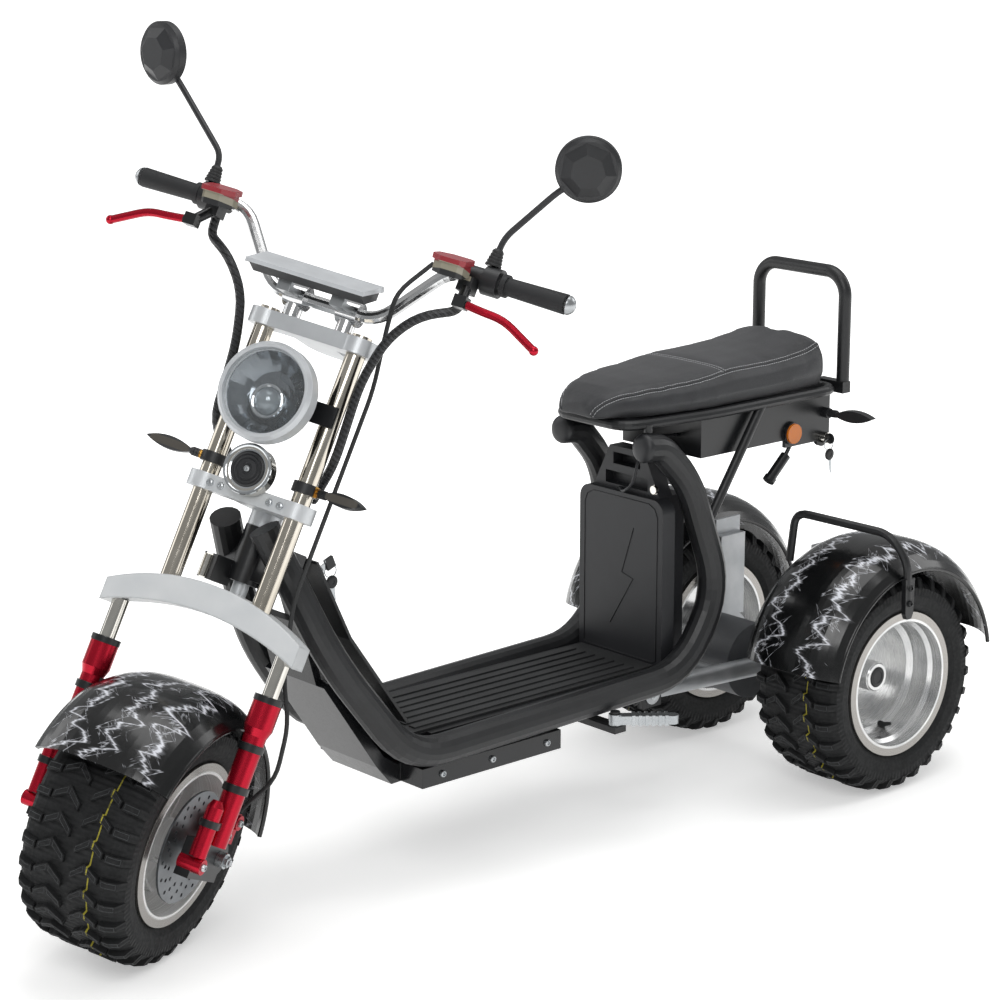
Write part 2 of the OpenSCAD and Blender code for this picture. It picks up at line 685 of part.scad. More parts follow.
// Arched bridge over the wheel, wider than the upper legs
module fork_bridge() {
    top_r = (pow(bridge_half, 2) + pow(bridge_drop, 2)) / (2 * bridge_drop);
    low_drop = bridge_drop - 10;
    low_r = (pow(bridge_half, 2) + pow(low_drop, 2)) / (2 * low_drop);
    color("#d3d6d8") steered() difference() {
        union() {
            intersection() {
                translate([0, -leg_ahead + bridge_depth / 2, 0]) rotate([90, 0, 0])
                    linear_extrude(height = bridge_depth) difference() {
                        translate([0, bridge_top_z - top_r]) circle(r = top_r, $fn = 128);
                        translate([0, bridge_top_z - bridge_h - low_r]) circle(r = low_r, $fn = 128);
                    }
                box([-bridge_half, bridge_half], [-leg_ahead - 40, -leg_ahead + 40],
                    [bridge_top_z - bridge_drop - bridge_h + 8, bridge_top_z + 1]);
            }
            box([-30, 30], [-leg_ahead + 10, axis_back], [372, 396]);
            translate([0, axis_back, 372]) cylinder(r = 30, h = 24);
        }
        for (s = [-1, 1]) {
            translate([s * leg_half, -leg_ahead, bridge_top_z - 30 - gap]) cylinder(r = leg_r + gap, h = 60);
            translate([s * lower_half, -leg_ahead, 280]) cylinder(r = inner_tube_r + gap, h = 60);
        }
        translate([0, axis_back, 386 - gap]) cylinder(r = stem_r + gap, h = 30);
    }
}
// Lower leg: chrome inner tube, red casing with bands, front damper and axle plate
module fork_lower(s) {
    steered() side(s) {
        color(chrome) translate([lower_half, -leg_ahead, 262]) cylinder(r = inner_tube_r, h = 77);
        color(black) translate([lower_half, -leg_ahead, 262]) cylinder(r = lower_top_r + 1, h = 10);
        color(red) translate([lower_half, -leg_ahead, 20]) cylinder(r = lower_r, h = 200);
        color(red) translate([lower_half, -leg_ahead, 206]) cylinder(r1 = lower_r, r2 = lower_top_r, h = 14);
        color(red) translate([lower_half, -leg_ahead, 219]) cylinder(r = lower_top_r, h = 44);
        color(black) for (z = [110, 180])
            translate([lower_half, -leg_ahead, z]) cylinder(r = lower_r + 3, h = 12);
        color(red) translate([lower_half - 2, -leg_ahead - 44, -4]) cylinder(r = 14, h = 84);
        color(red) translate([lower_half - 2, -leg_ahead - 44, 79]) cylinder(r1 = 14, r2 = 8, h = 12);
        color(black) translate([lower_half - 2, -leg_ahead - 44, 46]) cylinder(r = 17, h = 12);
        color(black) box([lower_half - 8, lower_half + 8], [-leg_ahead - 44, -leg_ahead], [46, 58]);
        color(black) difference() {
            union() {
                box([plate_x, lower_half - 2], [-leg_ahead - 52, 16], [-40, 24]);
                rod_x([plate_x, lower_half - 2], 0, 0, 30);
            }
            rod_x([plate_x - 1, lower_half], 0, 0, axle_r + gap);
        }
        color(red) rod_x([plate_x, lower_half + 14], -leg_ahead - 44, -16, 13);
    }
}
module fork_lower_left() {
    fork_lower(1);
}
module fork_lower_right() {
    fork_lower(-1);
}
module front_axle() {
    color(bright) steered() {
        rod_x([-lower_half - 4, lower_half + 4], 0, 0, axle_r);
        for (s = [-1, 1])
            rod_x(s > 0 ? [lower_half - 2 + gap, lower_half + 12] : [-lower_half - 12, -lower_half + 2 - gap], 0, 0, 13);
    }
}
// Caliper behind the left lower leg, astride the disc
module brake_caliper() {
    color("#a3111f") steered() difference() {
        union() {
            box([90, 127], [44, 90], [22, 74]);
            box([116, plate_x - gap], [9, 52], [8, 60]);
            rod_x([118, 134], 78, 60, 13);
        }
        front_disc_slot();
    }
}
module front_disc_slot() {
    rod_x([93, 104], 0, 0, disc_r + 6);
}
module front_fender() {
    color(gloss_black) steered() {
        rotate([0, -90, 0]) rotate([0, 0, 90]) rotate([0, 0, front_fender_angles[0] - 180])
            rotate_extrude(angle = front_fender_angles[1] - front_fender_angles[0])
                fender_shell(front_fender_r, front_fender_w, 40, 4);
        for (s = [-1, 1]) side(s)
            box([front_fender_w / 2 - 6, lower_half - lower_r - gap], [-leg_ahead - 9, -leg_ahead + 9], [194, 206]);
    }
}
// Headlight: rim ring and a bucket that narrows to the rear, between its straps
lamp_r = 83;
projector_r = 24;
lamp_z = top_clamp_z - 111;
lamp_y = -104;
module headlight() {
    steered() translate([0, lamp_y, lamp_z]) rotate([90, 0, 0]) {
        color(silver) difference() {
            union() {
                cylinder(r = lamp_r, h = 26);
                translate([0, 0, 25]) cylinder(r1 = lamp_r, r2 = lamp_r - 6, h = 8);
                translate([0, 0, -46]) cylinder(r1 = 44, r2 = lamp_r - 3, h = 47);
            }
            translate([0, 0, 22]) cylinder(r = lamp_r - 11, h = 20);
            translate([0, 0, -12]) cylinder(r1 = 40, r2 = lamp_r - 13, h = 35);
        }
        color("#dfe6ea") translate([0, -12, -13]) cylinder(r = projector_r + 3, h = 16);
        color("#dfe6ea") translate([0, -12, -2]) sphere(r = projector_r);
    }
    color(black) steered()
        box([-leg_half - 14, leg_half + 14], [-leg_ahead - leg_r - gap - 6, -leg_ahead - leg_r - gap], [lamp_z - 18, lamp_z + 18]);
}
horn_z = mid_clamp_z + 52;
module horn() {
    steered() translate([0, -66, horn_z]) rotate([90, 0, 0]) {
        color(silver) difference() {
            cylinder(r = 42, h = 24);
            translate([0, 0, 19]) cylinder(r = 33, h = 8);
        }
        color(black) translate([0, 0, 18]) cylinder(r = 30, h = 5);
    }
    color(black) steered() box([-14, 14], [-68, -44], [mid_clamp_z + clamp_t + gap, horn_z - 16]);
}
signal_z = mid_clamp_z + 54;
module front_signal(s) {
    color(rubber) steered() side(s) translate([leg_half, -leg_ahead, signal_z]) {
        difference() {
            translate([0, 0, -9]) cylinder(r = leg_r + 6, h = 18);
            translate([0, 0, -10]) cylinder(r = leg_r + gap, h = 20);
        }
        translate([leg_r + 3, 0, 0]) rotate([0, 0, -14]) leaf_signal(24);
    }
}
module front_signal_left() {
    front_signal(1);
}
module front_signal_right() {
    front_signal(-1);
}

// Handlebar and what it carries

bar_y = -leg_ahead + 4;
bar_bend_x = [100, 194];
bar_path = rounded([
    [-grip_end_x + 8, bar_y, grip_z], [-bar_bend_x[1], bar_y, grip_z], [-bar_bend_x[0], bar_y, bar_z],
    [bar_bend_x[0], bar_y, bar_z], [bar_bend_x[1], bar_y, grip_z], [grip_end_x - 8, bar_y, grip_z]], 32, 5);
module handlebar() {
    riser_z = top_clamp_z + clamp_t + gap;
    color(bright) steered() {
        tube(bar_path, bar_r, [0, 1, 0], 12);
        for (s = [-1, 1]) side(s) {
            translate([riser_x, bar_y, riser_z]) cylinder(r = riser_r, h = bar_z - riser_z);
            rod_x([riser_x - 19, riser_x + 19], bar_y, bar_z, bar_clamp_r);
        }
    }
}
// Thin wedge of a display on two brackets ahead of the bar clamps, level in the world
dash_y = -108;
dash_z = bar_z + 30;
module dash() {
    bracket_end = bar_y - bar_clamp_r - gap;
    steered() {
        translate([0, dash_y, dash_z]) rotate([rake - 6, 0, 0]) rotate([90, 0, 90]) {
            color("#b4b8bb") translate([0, 0, -110]) linear_extrude(height = 220)
                polygon([[-38, 0], [-36, 6], [34, 9], [38, 2], [38, -1], [-38, -1]]);
            color(black) translate([0, 0, -104]) linear_extrude(height = 208)
                polygon([[-36, 0], [36, 0], [30, -16], [-14, -18]]);
        }
        color(bright) for (s = [-1, 1]) side(s) {
            box([riser_x - 12, riser_x + 12], [dash_y + 8, bracket_end], [bar_z - 6, bar_z + 6]);
            box([riser_x - 12, riser_x + 12], [dash_y + 8, dash_y + 20], [bar_z - 6, dash_z - 10]);
        }
    }
}
// Grip that swells towards its outer end, with a domed metal cap
module grip(s) {
    steered() side(s) translate([0, bar_y, grip_z]) rotate([0, 90, 0]) {
        color(rubber) difference() {
            union() {
                translate([0, 0, grip_in_x]) cylinder(r1 = grip_r - 1, r2 = grip_r + 1, h = grip_end_x - 12 - grip_in_x);
                translate([0, 0, grip_in_x - 4]) cylinder(r = grip_r + 3, h = 9);
            }
            translate([0, 0, grip_in_x - 10]) cylinder(r = bar_r + gap, h = grip_end_x - 8 - grip_in_x + 10 + gap);
        }
        color(silver) translate([0, 0, grip_end_x - 12 - 0.5]) rotate_extrude() intersection() {
            circle(r = grip_r + 1);
            translate([0, 5]) square([grip_r + 2, grip_r]);
        }
    }
}
module grip_left() {
    grip(1);
}
module grip_right() {
    grip(-1);
}
// Lever perch with its reservoir, switch housing and brake lever
module controls(s) {
    steered() side(s) {
        color(black) difference() {
            union() {
                rod_x([228, 255], bar_y, grip_z, 18);
                rod_x([254, grip_in_x - 8], bar_y, grip_z, 24);
                box([226, 250], [bar_y - 40, bar_y - 8], [grip_z - 34, grip_z - 8]);
            }
            rod_x([220, grip_in_x], bar_y, grip_z, bar_r + gap);
        }
        color(bright) bar([240, bar_y - 30, grip_z - 26], [252, bar_y - 60, grip_z - 56], 9);
        color(bright) box([242, 264], [bar_y - 72, bar_y - 50], [grip_z - 66, grip_z - 46]);
        translate([216, bar_y - 58, grip_z - 18]) rotate([rake - 9, 0, 0]) {
            color("#b58a55") linear_extrude(height = 22) reservoir_outline(0);
            color("#7c1020") translate([0, 0, 21]) linear_extrude(height = 9) reservoir_outline(3);
        }
        color(red) tube(rounded([[250, bar_y - 62, grip_z - 56], [292, bar_y - 68, grip_z - 62],
            [334, bar_y - 64, grip_z - 64], lever_tip], 20, 4), 7, [0, 0, 1], 10);
        color(red) translate(lever_tip) sphere(r = 8);
    }
}
lever_tip = [grip_end_x - 14, bar_y - 60, grip_z - 96];
module reservoir_outline(more) {
    x = 28 + more;
    y = 23 + more;
    polygon([[-x, -y + 14], [-x + 20, -y], [x - 8, -y], [x, -y + 8], [x, y - 8], [x - 8, y], [-x + 20, y], [-x, y - 14]]);
}
module controls_left() {
    controls(1);
}
module controls_right() {
    controls(-1);
}
mirror_r = 54;
// The left mirror is set closer in than the right one, and each is turned towards the rider
mirror_left_at = [362, -50, 1242];
mirror_right_at = [444, -50, 1236];
mirror_turn = [22, -20];
module bar_mirror(s) {
    at = s > 0 ? mirror_left_at : mirror_right_at;
    base = [s > 0 ? 258 : 276, bar_y, grip_z + 24 + gap];
    steered() side(s) {
        color(black) tube(rounded([base, base + [2, -2, 50], at + [-46, 24, -44], at + [-20, 14, -22]], 18, 4), 5.5, [0, 1, 0], 10);
        color(black) translate(base) cylinder(r1 = 13, r2 = 7, h = 30);
        color(black) translate(at) rotate([rake, 0, 0]) rotate([0, 0, s > 0 ? mirror_turn[0] : -mirror_turn[1]]) rotate([90, 0, 0]) {
            translate([0, 0, -8]) cylinder(r = mirror_r, h = 14);
            translate([0, 0, 5]) cylinder(r1 = mirror_r, r2 = mirror_r - 6, h = 7);
            translate([0, 0, 11]) cylinder(r1 = mirror_r - 6, r2 = mirror_r - 25, h = 13, $fn = 7);
        }
    }
}
module mirror_left() {
    bar_mirror(1);
}
module mirror_right() {
    bar_mirror(-1);
}
// Front brake hose from the left lever down behind the leg to the caliper
hose_path = rounded([
    [183.2, bar_y - 58, grip_z - 8], [136, bar_y - 50, grip_z - 70], [leg_half + 26, -14, top_clamp_z + 48],
    [leg_half + 32, 4, top_clamp_z - 40],
    [leg_half + 32, 2, 430], [leg_half + 60, 6, 310], [182, 12, 240], [178, 50, 150], [134, 78, 94], [126, 78, 76]], 30, 4);
module brake_hose() {
    color(black) steered() tube(hose_path, 4, [0, 1, 0], 8);
}
// Wrapped bundles from both switch housings down beside the legs to the head
bundle_r = 8;
harness_path = rounded([
    [236, bar_y - 17, grip_z - 34 - 1], [234, bar_y - 16, grip_z - 64], [180, bar_y - 30, grip_z - 92],
    [leg_half + leg_r + 34, -leg_ahead - 20, top_clamp_z + 40], [leg_half + leg_r + bundle_r + 6, -leg_ahead - 14, top_clamp_z - 40],
    [leg_half + leg_r + bundle_r + 4, -leg_ahead + 6, mid_clamp_z + 110], [leg_half - 16, 40, mid_clamp_z + 46]], 34, 4);
module harness() {
    color(black) steered() {
        tube(harness_path, bundle_r, [0, 1, 0], 10);
        tube(mirrored(harness_path), bundle_r, [0, 1, 0], 10);
    }
}

frame_tube_left();
frame_tube_right();
head_tube();
floor_pan();
floor_mat();
belly_panel();
leg_shield();
ignition_lock();
battery_pack();
seat_rail();
seat();
grab_rail();
tail_box();
rear_signal_left();
rear_signal_right();
swing_arm();
axle_housing();
drive_motor();
rear_fender_left();
rear_fender_right();
fender_guard_left();
fender_guard_right();
footpeg_left();
footpeg_right();
fork_leg_left();
fork_leg_right();
top_clamp();
mid_clamp();
fork_bridge();
fork_lower_left();
fork_lower_right();
front_axle();
brake_caliper();
front_fender();
headlight();
horn();
front_signal_left();
front_signal_right();
handlebar();
dash();
grip_left();
grip_right();
controls_left();
controls_right();
mirror_left();
mirror_right();
brake_hose();
harness();
front_tyre();
front_rim();
brake_disc();
rear_tyre_left();
rear_rim_left();
rear_tyre_right();
rear_rim_right();
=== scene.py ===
import math
import bpy
from bpy.props import FloatProperty, FloatVectorProperty, PointerProperty
from mathutils import Matrix, Vector
from mathutils.kdtree import KDTree


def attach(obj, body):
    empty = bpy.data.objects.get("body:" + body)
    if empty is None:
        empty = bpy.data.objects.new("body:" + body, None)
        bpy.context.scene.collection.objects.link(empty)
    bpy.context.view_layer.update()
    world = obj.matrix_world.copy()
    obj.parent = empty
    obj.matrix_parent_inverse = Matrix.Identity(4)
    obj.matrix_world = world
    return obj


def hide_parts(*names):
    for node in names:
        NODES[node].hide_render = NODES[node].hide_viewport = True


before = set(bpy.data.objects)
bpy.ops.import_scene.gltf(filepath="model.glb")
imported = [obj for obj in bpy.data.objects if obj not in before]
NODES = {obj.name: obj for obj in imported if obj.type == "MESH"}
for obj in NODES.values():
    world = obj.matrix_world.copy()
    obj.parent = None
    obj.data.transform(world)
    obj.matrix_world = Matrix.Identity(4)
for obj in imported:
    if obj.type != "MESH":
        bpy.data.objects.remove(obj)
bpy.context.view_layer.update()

bl_info = {
    "name": "Three-wheeled scooter dressing",
    "version": (1, 0, 0),
    "blender": (4, 5, 0),
    "location": "View3D > Sidebar > Scooter",
    "description": "Materials, soft goods, fittings and a studio for a three-wheeled electric scooter",
    "category": "Object",
}

# Sizes of the solids in metres and radians, and the frames they are drawn in
MM = 0.001
WHEEL_R = 0.215
REAR_AXLE_Y = 0.750
WHEELBASE = 1.538
RAKE = math.radians(27.4)
STEER = math.radians(26.0)
AXIS_BACK = 0.045
FRONT_LIFT = 0.010155
HALF_TRACK = 0.241
FENDER_OUT = 0.252
SEAT_BASE = WHEEL_R + 0.5463
CHASSIS = Matrix.Translation((0, REAR_AXLE_Y, WHEEL_R))
FORK = CHASSIS @ Matrix.Translation((0, -WHEELBASE, FRONT_LIFT)) @ Matrix.Rotation(-RAKE, 4, "X")
STEERED = (FORK @ Matrix.Translation((0, AXIS_BACK, 0)) @ Matrix.Rotation(STEER, 4, "Z")
           @ Matrix.Translation((0, -AXIS_BACK, 0)))
WHEELS = {
    "front_wheel": STEERED,
    "rear_wheel_left": CHASSIS @ Matrix.Translation((HALF_TRACK, 0, 0)),
    "rear_wheel_right": CHASSIS @ Matrix.Translation((-HALF_TRACK, 0, 0)) @ Matrix.Rotation(math.pi, 4, "Z"),
}
BOTH = (1, -1)

# Kinds of node that repeat, the range that holds most of a noise, and what makes a Mix node one of colours
MATH, VECTOR, MIX = "ShaderNodeMath", "ShaderNodeVectorMath", "ShaderNodeMix"
NOISE, RANGE = "ShaderNodeTexNoise", "ShaderNodeMapRange"
BUMP, BEVEL = "ShaderNodeBump", "ShaderNodeBevel"
JOIN, SPLIT = "ShaderNodeCombineXYZ", "ShaderNodeSeparateXYZ"
MOST = (0.3, 0.7)
TINT = {"out": "Result", "data_type": "RGBA"}

# Places on the wheels and fenders where a finish changes, in millimetres from the axle or the middle plane
TREAD_FROM = 196.0
PAINT_LINE = 38.0
RIBS_FROM, RIBS_FULL = 172.0, 184.0
LIP_FROM = 126.0
FENDER_R = 255.0
SHOULDER_RIBS = 124
# Size of the patches in which a finish drifts, in millimetres
PATCH = 70.0
# Turn of the thread's wave in radians per metre, for stitches 6 mm long
STITCH_TURN = 1047.0
# Strength of the room for the camera, at which even its darkest grey is white
ROOM_WHITE = 1.65
MADE = {}


def rotated(degrees, axis):
    """A turn about one axis."""
    return Matrix.Rotation(math.radians(degrees), 4, axis)


def srgb(code):
    """Linear colour of an sRGB hex value."""
    parts = [int(code[i:i + 2], 16) / 255 for i in (1, 3, 5)]
    return tuple(c / 12.92 if c <= 0.04045 else ((c + 0.055) / 1.055) ** 2.4 for c in parts) + (1.0,)


def shade(colour, share=1.0):
    """A linear colour darkened to a share of its light."""
    return tuple(c * share for c in tuple(colour)[:3]) + (1.0,)


def feed(node, inputs):
    """Set or link inputs of a node, given by their names or in their order."""
    for key, value in inputs.items() if isinstance(inputs, dict) else enumerate(inputs):
        if isinstance(value, bpy.types.NodeSocket):
            node.id_data.links.new(value, node.inputs[key])
        else:
            node.inputs[key].default_value = value


def add(tree, kind, inputs=(), out=0, **settings):
    """Add a node with its settings and inputs, and give one of its outputs."""
    node = tree.nodes.new(kind)
    for key, value in settings.items():
        setattr(node, key, value)
    feed(node, inputs)
    return node.outputs[out] if node.outputs else None


def blank(name):
    """An empty material's tree, its shader and the object coordinates."""
    material = MADE[name] = bpy.data.materials.new(name)
    material.use_nodes = True
    tree = material.node_tree
    tree.nodes.clear()
    surface = add(tree, "ShaderNodeBsdfPrincipled")
    add(tree, "ShaderNodeOutputMaterial", {"Surface": surface})
    return tree, surface.node, add(tree, "ShaderNodeTexCoord", out="Object")


def drift(tree, place, size_mm, low=0.0, high=1.0, detail=3.0):
    """A value that drifts between low and high in patches of a size."""
    patches = add(tree, NOISE, {"Vector": place, "Scale": 1 / (size_mm * MM), "Detail": detail})
    return add(tree, RANGE, (patches, *MOST, low, high))


def finish(name, dark, light, metallic, rough, grain_mm, bump_mm, edge_mm):
    """A surface with a drifting tone, uneven gloss, a fine grain and softly broken edges."""
    tree, shader, place = blank(name)
    grain = add(tree, NOISE, {"Vector": place, "Scale": 1 / (grain_mm * MM), "Detail": 6.0})
    normal = add(tree, BEVEL, {"Radius": edge_mm * MM}, samples=4)
    if bump_mm:
        normal = add(tree, BUMP, {"Height": grain, "Distance": bump_mm * MM, "Normal": normal})
    feed(shader, {
        "Base Color": add(tree, MIX, {"Factor": drift(tree, place, PATCH), "A": dark, "B": light}, **TINT),
        "Metallic": metallic,
        "Roughness": add(tree, RANGE, (grain, *MOST, *rough)),
        "Normal": normal,
    })


def own_frame(tree, place, frame_matrix):
    """The x, y and z of a piece's own frame, in millimetres."""
    spot, turn, _ = frame_matrix.decompose()
    mapped = add(tree, "ShaderNodeMapping", {"Vector": place, "Location": spot, "Rotation": turn.to_euler(),
                                            "Scale": (MM, MM, MM)}, vector_type="TEXTURE")
    parts = add(tree, SPLIT, (mapped,)).node.outputs
    return {axis: parts[axis.upper()] for axis in "xyz"}


def within(tree, axes, test, sign):
    """1 inside the named ranges and circles of a piece's own frame, mirrored on the right, and 0 elsewhere."""
    mask = None
    for key, limits in test.items():
        mirror = sign if key[0] == "x" else 1
        if len(key) == 1:
            low, high = limits
            middle, half = mirror * (low + high) / 2, (high - low) / 2
            hit = add(tree, MATH, (axes[key], middle, half), operation="COMPARE")
        else:
            first, second, radius = limits
            flat = add(tree, JOIN, {"X": axes[key[0]], "Y": axes[key[1]]})
            away = add(tree, VECTOR, (flat, (mirror * first, second, 0)), "Value", operation="DISTANCE")
            hit = add(tree, MATH, (away, radius), operation="LESS_THAN")
        mask = hit if mask is None else add(tree, MATH, (mask, hit), operation="MULTIPLY")
    return mask


# What a zone of a mixed piece is made of: colour, metallic and roughness
ZONE = {
    "black_plastic": (srgb("#1b1c1e"), 0.0, 0.42),
    "black_rubber": (srgb("#1d1e20"), 0.0, 0.62),
    "black_enamel": (srgb("#17181a"), 0.0, 0.30),
    "chrome": (srgb("#d5d2cb"), 1.0, 0.10),
    "cast_silver": (srgb("#d3d6d9"), 0.3, 0.34),
    "zinc": (srgb("#aeb1b3"), 0.9, 0.30),
    "brass": (srgb("#b48a45"), 1.0, 0.30),
    "amber_resin": (srgb("#e07a12"), 0.0, 0.16),
    "red_resin": (srgb("#a80f18"), 0.0, 0.18),
    "bowl_resin": (srgb("#a59f8d"), 0.0, 0.10),
    "lid_red": (srgb("#a3343c"), 0.0, 0.26),
    "amber_smoke": (srgb("#54504a"), 0.0, 0.10),
    "charcoal_case": (srgb("#242528"), 0.0, 0.48),
    "lens_glass": (srgb("#8f989d"), 0.35, 0.03),
}


def zoned(name, frame_matrix, base, zones, sign=1):
    """One moulded or assembled piece whose zones are of other materials."""
    tree, shader, place = blank(name)
    axes = own_frame(tree, place, frame_matrix)
    colour, metal, rough = ZONE[base]
    for zone, test in zones:
        mask = within(tree, axes, test, sign)
        zone_colour, zone_metal, zone_rough = ZONE[zone]
        colour = add(tree, MIX, {"Factor": mask, "A": colour, "B": zone_colour}, **TINT)
        metal = add(tree, MIX, {"Factor": mask, "A": metal, "B": zone_metal}, "Result")
        rough = add(tree, MIX, {"Factor": mask, "A": rough, "B": zone_rough}, "Result")
    tone = drift(tree, place, 40.0, 0.86, 1.0)
    grain = add(tree, NOISE, {"Vector": place, "Scale": 1 / (1.5 * MM), "Detail": 5.0})
    soft = add(tree, BEVEL, {"Radius": 0.7 * MM}, samples=4)
    feed(shader, {
        "Base Color": add(tree, VECTOR, {0: colour, "Scale": tone}, operation="SCALE"),
        "Metallic": metal,
        "Roughness": rough,
        "Normal": add(tree, BUMP, {"Height": grain, "Distance": 0.012 * MM, "Normal": soft}),
    })


def wheel_axes(tree, place, wheel):
    """The axes of a wheel's own frame, and the distance out from its axle, in millimetres."""
    axes = own_frame(tree, place, WHEELS[wheel])
    flat = add(tree, JOIN, {"X": axes["y"], "Y": axes["z"]})
    axes["out"] = add(tree, VECTOR, (flat,), "Value", operation="LENGTH")
    return axes


def tyre_rubber(wheel):
    """Moulded rubber: matt, slightly grey on worn faces, with a thin factory paint line round the tread."""
    tree, shader, place = blank("tyre_rubber_" + wheel)
    axes = wheel_axes(tree, place, wheel)
    wobble = drift(tree, place, 55.0, -1.0, 1.0)
    drifting = add(tree, MATH, (axes["x"], wobble), operation="ADD")
    line = add(tree, MATH, (drifting, PAINT_LINE, 1.2), operation="COMPARE")
    tread = add(tree, MATH, (axes["out"], TREAD_FROM), operation="GREATER_THAN")
    flecks = add(tree, NOISE, {"Vector": place, "Scale": 1 / (14.0 * MM), "Detail": 3.0})
    broken = add(tree, RANGE, (flecks, 0.36, 0.44, 0.25, 0.85))
    paint = add(tree, MATH, (line, tread), operation="MULTIPLY")
    paint = add(tree, MATH, (paint, broken), operation="MULTIPLY")
    worn = drift(tree, place, 30.0, detail=5.0)
    rubber = add(tree, MIX, {"Factor": worn, "A": srgb("#101112"), "B": srgb("#1c1d1e")}, **TINT)
    soft = add(tree, BEVEL, {"Radius": 1.2 * MM}, samples=4)
    # Shoulder ribs round the sidewall, above the bead
    turn = add(tree, MATH, (axes["y"], axes["z"]), operation="ARCTAN2")
    around = add(tree, MATH, (turn, SHOULDER_RIBS), operation="MULTIPLY")
    ribs = add(tree, MATH, (around,), operation="SINE")
    wall = add(tree, RANGE, (axes["out"], RIBS_FROM, RIBS_FULL))
    ribs = add(tree, MATH, (ribs, wall), operation="MULTIPLY")
    ribbed = add(tree, BUMP, {"Height": ribs, "Distance": 0.5 * MM, "Normal": soft})
    grain = add(tree, NOISE, {"Vector": place, "Scale": 1 / (1.6 * MM), "Detail": 6.0})
    feed(shader, {
        "Base Color": add(tree, MIX, {"Factor": paint, "A": rubber, "B": srgb("#b3a83a")}, **TINT),
        "Roughness": drift(tree, place, 6.0, 0.62, 0.8),
        "Specular IOR Level": 0.35,
        "Normal": add(tree, BUMP, {"Height": grain, "Distance": 0.15 * MM, "Normal": ribbed}),
    })


def turned_aluminium(wheel):
    """Turned and polished aluminium: bright, with fine rings round the axle that stretch its highlights."""
    tree, shader, place = blank("turned_aluminium_" + wheel)
    axes = wheel_axes(tree, place, wheel)
    out = axes["out"]
    both = add(tree, MATH, (axes["x"], out), operation="ADD")
    cuts = add(tree, JOIN, {"X": both, "Y": out})
    lines = add(tree, NOISE, {"Vector": cuts, "Scale": 1.4, "Detail": 4.0})
    tone = drift(tree, place, 45.0)
    colour = add(tree, MIX, {"Factor": tone, "A": srgb("#c9cacb"), "B": srgb("#e4e4e3")}, **TINT)
    # The outer lip is duller than the turned inside
    lip = add(tree, RANGE, (out, LIP_FROM, LIP_FROM + 1.5))
    colour = add(tree, MIX, {"Factor": lip, "A": colour, "B": srgb("#9f9c98")}, **TINT)
    metallic = 0.8
    if wheel == "front_wheel":
        # The ribbed inside of the front rim is painted near white and made less metallic: painted light that keeps
        # it bright behind the disc, where fender and fork shade it
        inside = add(tree, RANGE, (out, LIP_FROM - 2.0, LIP_FROM, 1.0, 0.0))
        colour = add(tree, MIX, {"Factor": inside, "A": colour, "B": srgb("#fbfbfa")}, **TINT)
        metallic = add(tree, RANGE, (inside, 0.0, 1.0, 0.8, 0.15))
    soft = add(tree, BEVEL, {"Radius": 1.0 * MM}, samples=4)
    feed(shader, {
        "Base Color": colour,
        "Metallic": metallic,
        "Roughness": add(tree, RANGE, (lines, *MOST, 0.16, 0.32)),
        "Normal": add(tree, BUMP, {"Height": lines, "Distance": 0.02 * MM, "Normal": soft}),
    })


# Strokes of a flash: swing to each side in mm, pace along the fender, half width in mm, brightness and slant
FLASH_STROKES = ((34.0, 0.020, 1.7, 0.85, 0.0), (46.0, 0.026, 1.1, 0.60, 0.9), (40.0, 0.034, 0.9, 0.40, -0.9))


def flash_lacquer(name, hub, bands, colour):
    """Gloss black ABS under clear lacquer, with printed bands of pale branching flashes."""
    tree, shader, place = blank(name)
    axes = own_frame(tree, place, hub)
    turn = add(tree, MATH, (axes["z"], axes["y"]), operation="ARCTAN2")
    along = add(tree, MATH, (turn, FENDER_R), operation="MULTIPLY")
    level = add(tree, JOIN, {"X": along, "Y": axes["x"]})
    breaks = add(tree, NOISE, {"Vector": level, "Scale": 0.022, "Detail": 2.0})
    hot = add(tree, RANGE, (breaks, 0.52, 0.66))
    kept = add(tree, RANGE, (breaks, 0.40, 0.46))
    shown = 0.0
    for i, middle in enumerate(bands):
        for k, (swing, pace, half, bright, slant) in enumerate(FLASH_STROKES):
            slanted = add(tree, MATH, (axes["x"], slant, along), operation="MULTIPLY_ADD")
            # Every stroke starts somewhere else on the noise
            seeded = add(tree, MATH, (slanted, 613.0 * i + 1979.0 * k), operation="ADD")
            wave = add(tree, NOISE, {"W": seeded, "Scale": pace, "Detail": 4.0, "Roughness": 0.58},
                       noise_dimensions="1D")
            centre = add(tree, RANGE, (wave, 0.25, 0.75, middle - swing, middle + swing))
            off = add(tree, MATH, (axes["x"], centre), operation="SUBTRACT")
            off = add(tree, MATH, (off,), operation="ABSOLUTE")
            line = add(tree, RANGE, (off, half * 0.4, half * 2.8, bright, 0.0))
            if k:
                line = add(tree, MATH, (line, kept), operation="MULTIPLY")
            else:
                halo = add(tree, RANGE, (off, 0.0, 11.0, 0.85, 0.0))
                line = add(tree, MATH, (halo, hot, line), operation="MULTIPLY_ADD")
                faint = add(tree, RANGE, (off, 0.0, 12.0, 0.10, 0.0))
                line = add(tree, MATH, (line, faint), operation="MAXIMUM")
            shown = add(tree, MATH, (shown, line), operation="MAXIMUM", use_clamp=True)
    feed(shader, {
        "Base Color": add(tree, MIX, {"Factor": shown, "A": srgb("#08090a"), "B": shade(colour)}, **TINT),
        "Roughness": drift(tree, place, 12.0, 0.20, 0.27),
        "Specular IOR Level": 0.42,
        "Coat Weight": 0.25,
        "Coat Roughness": 0.10,
        "Normal": add(tree, BEVEL, {"Radius": 1.5 * MM}, samples=4),
    })


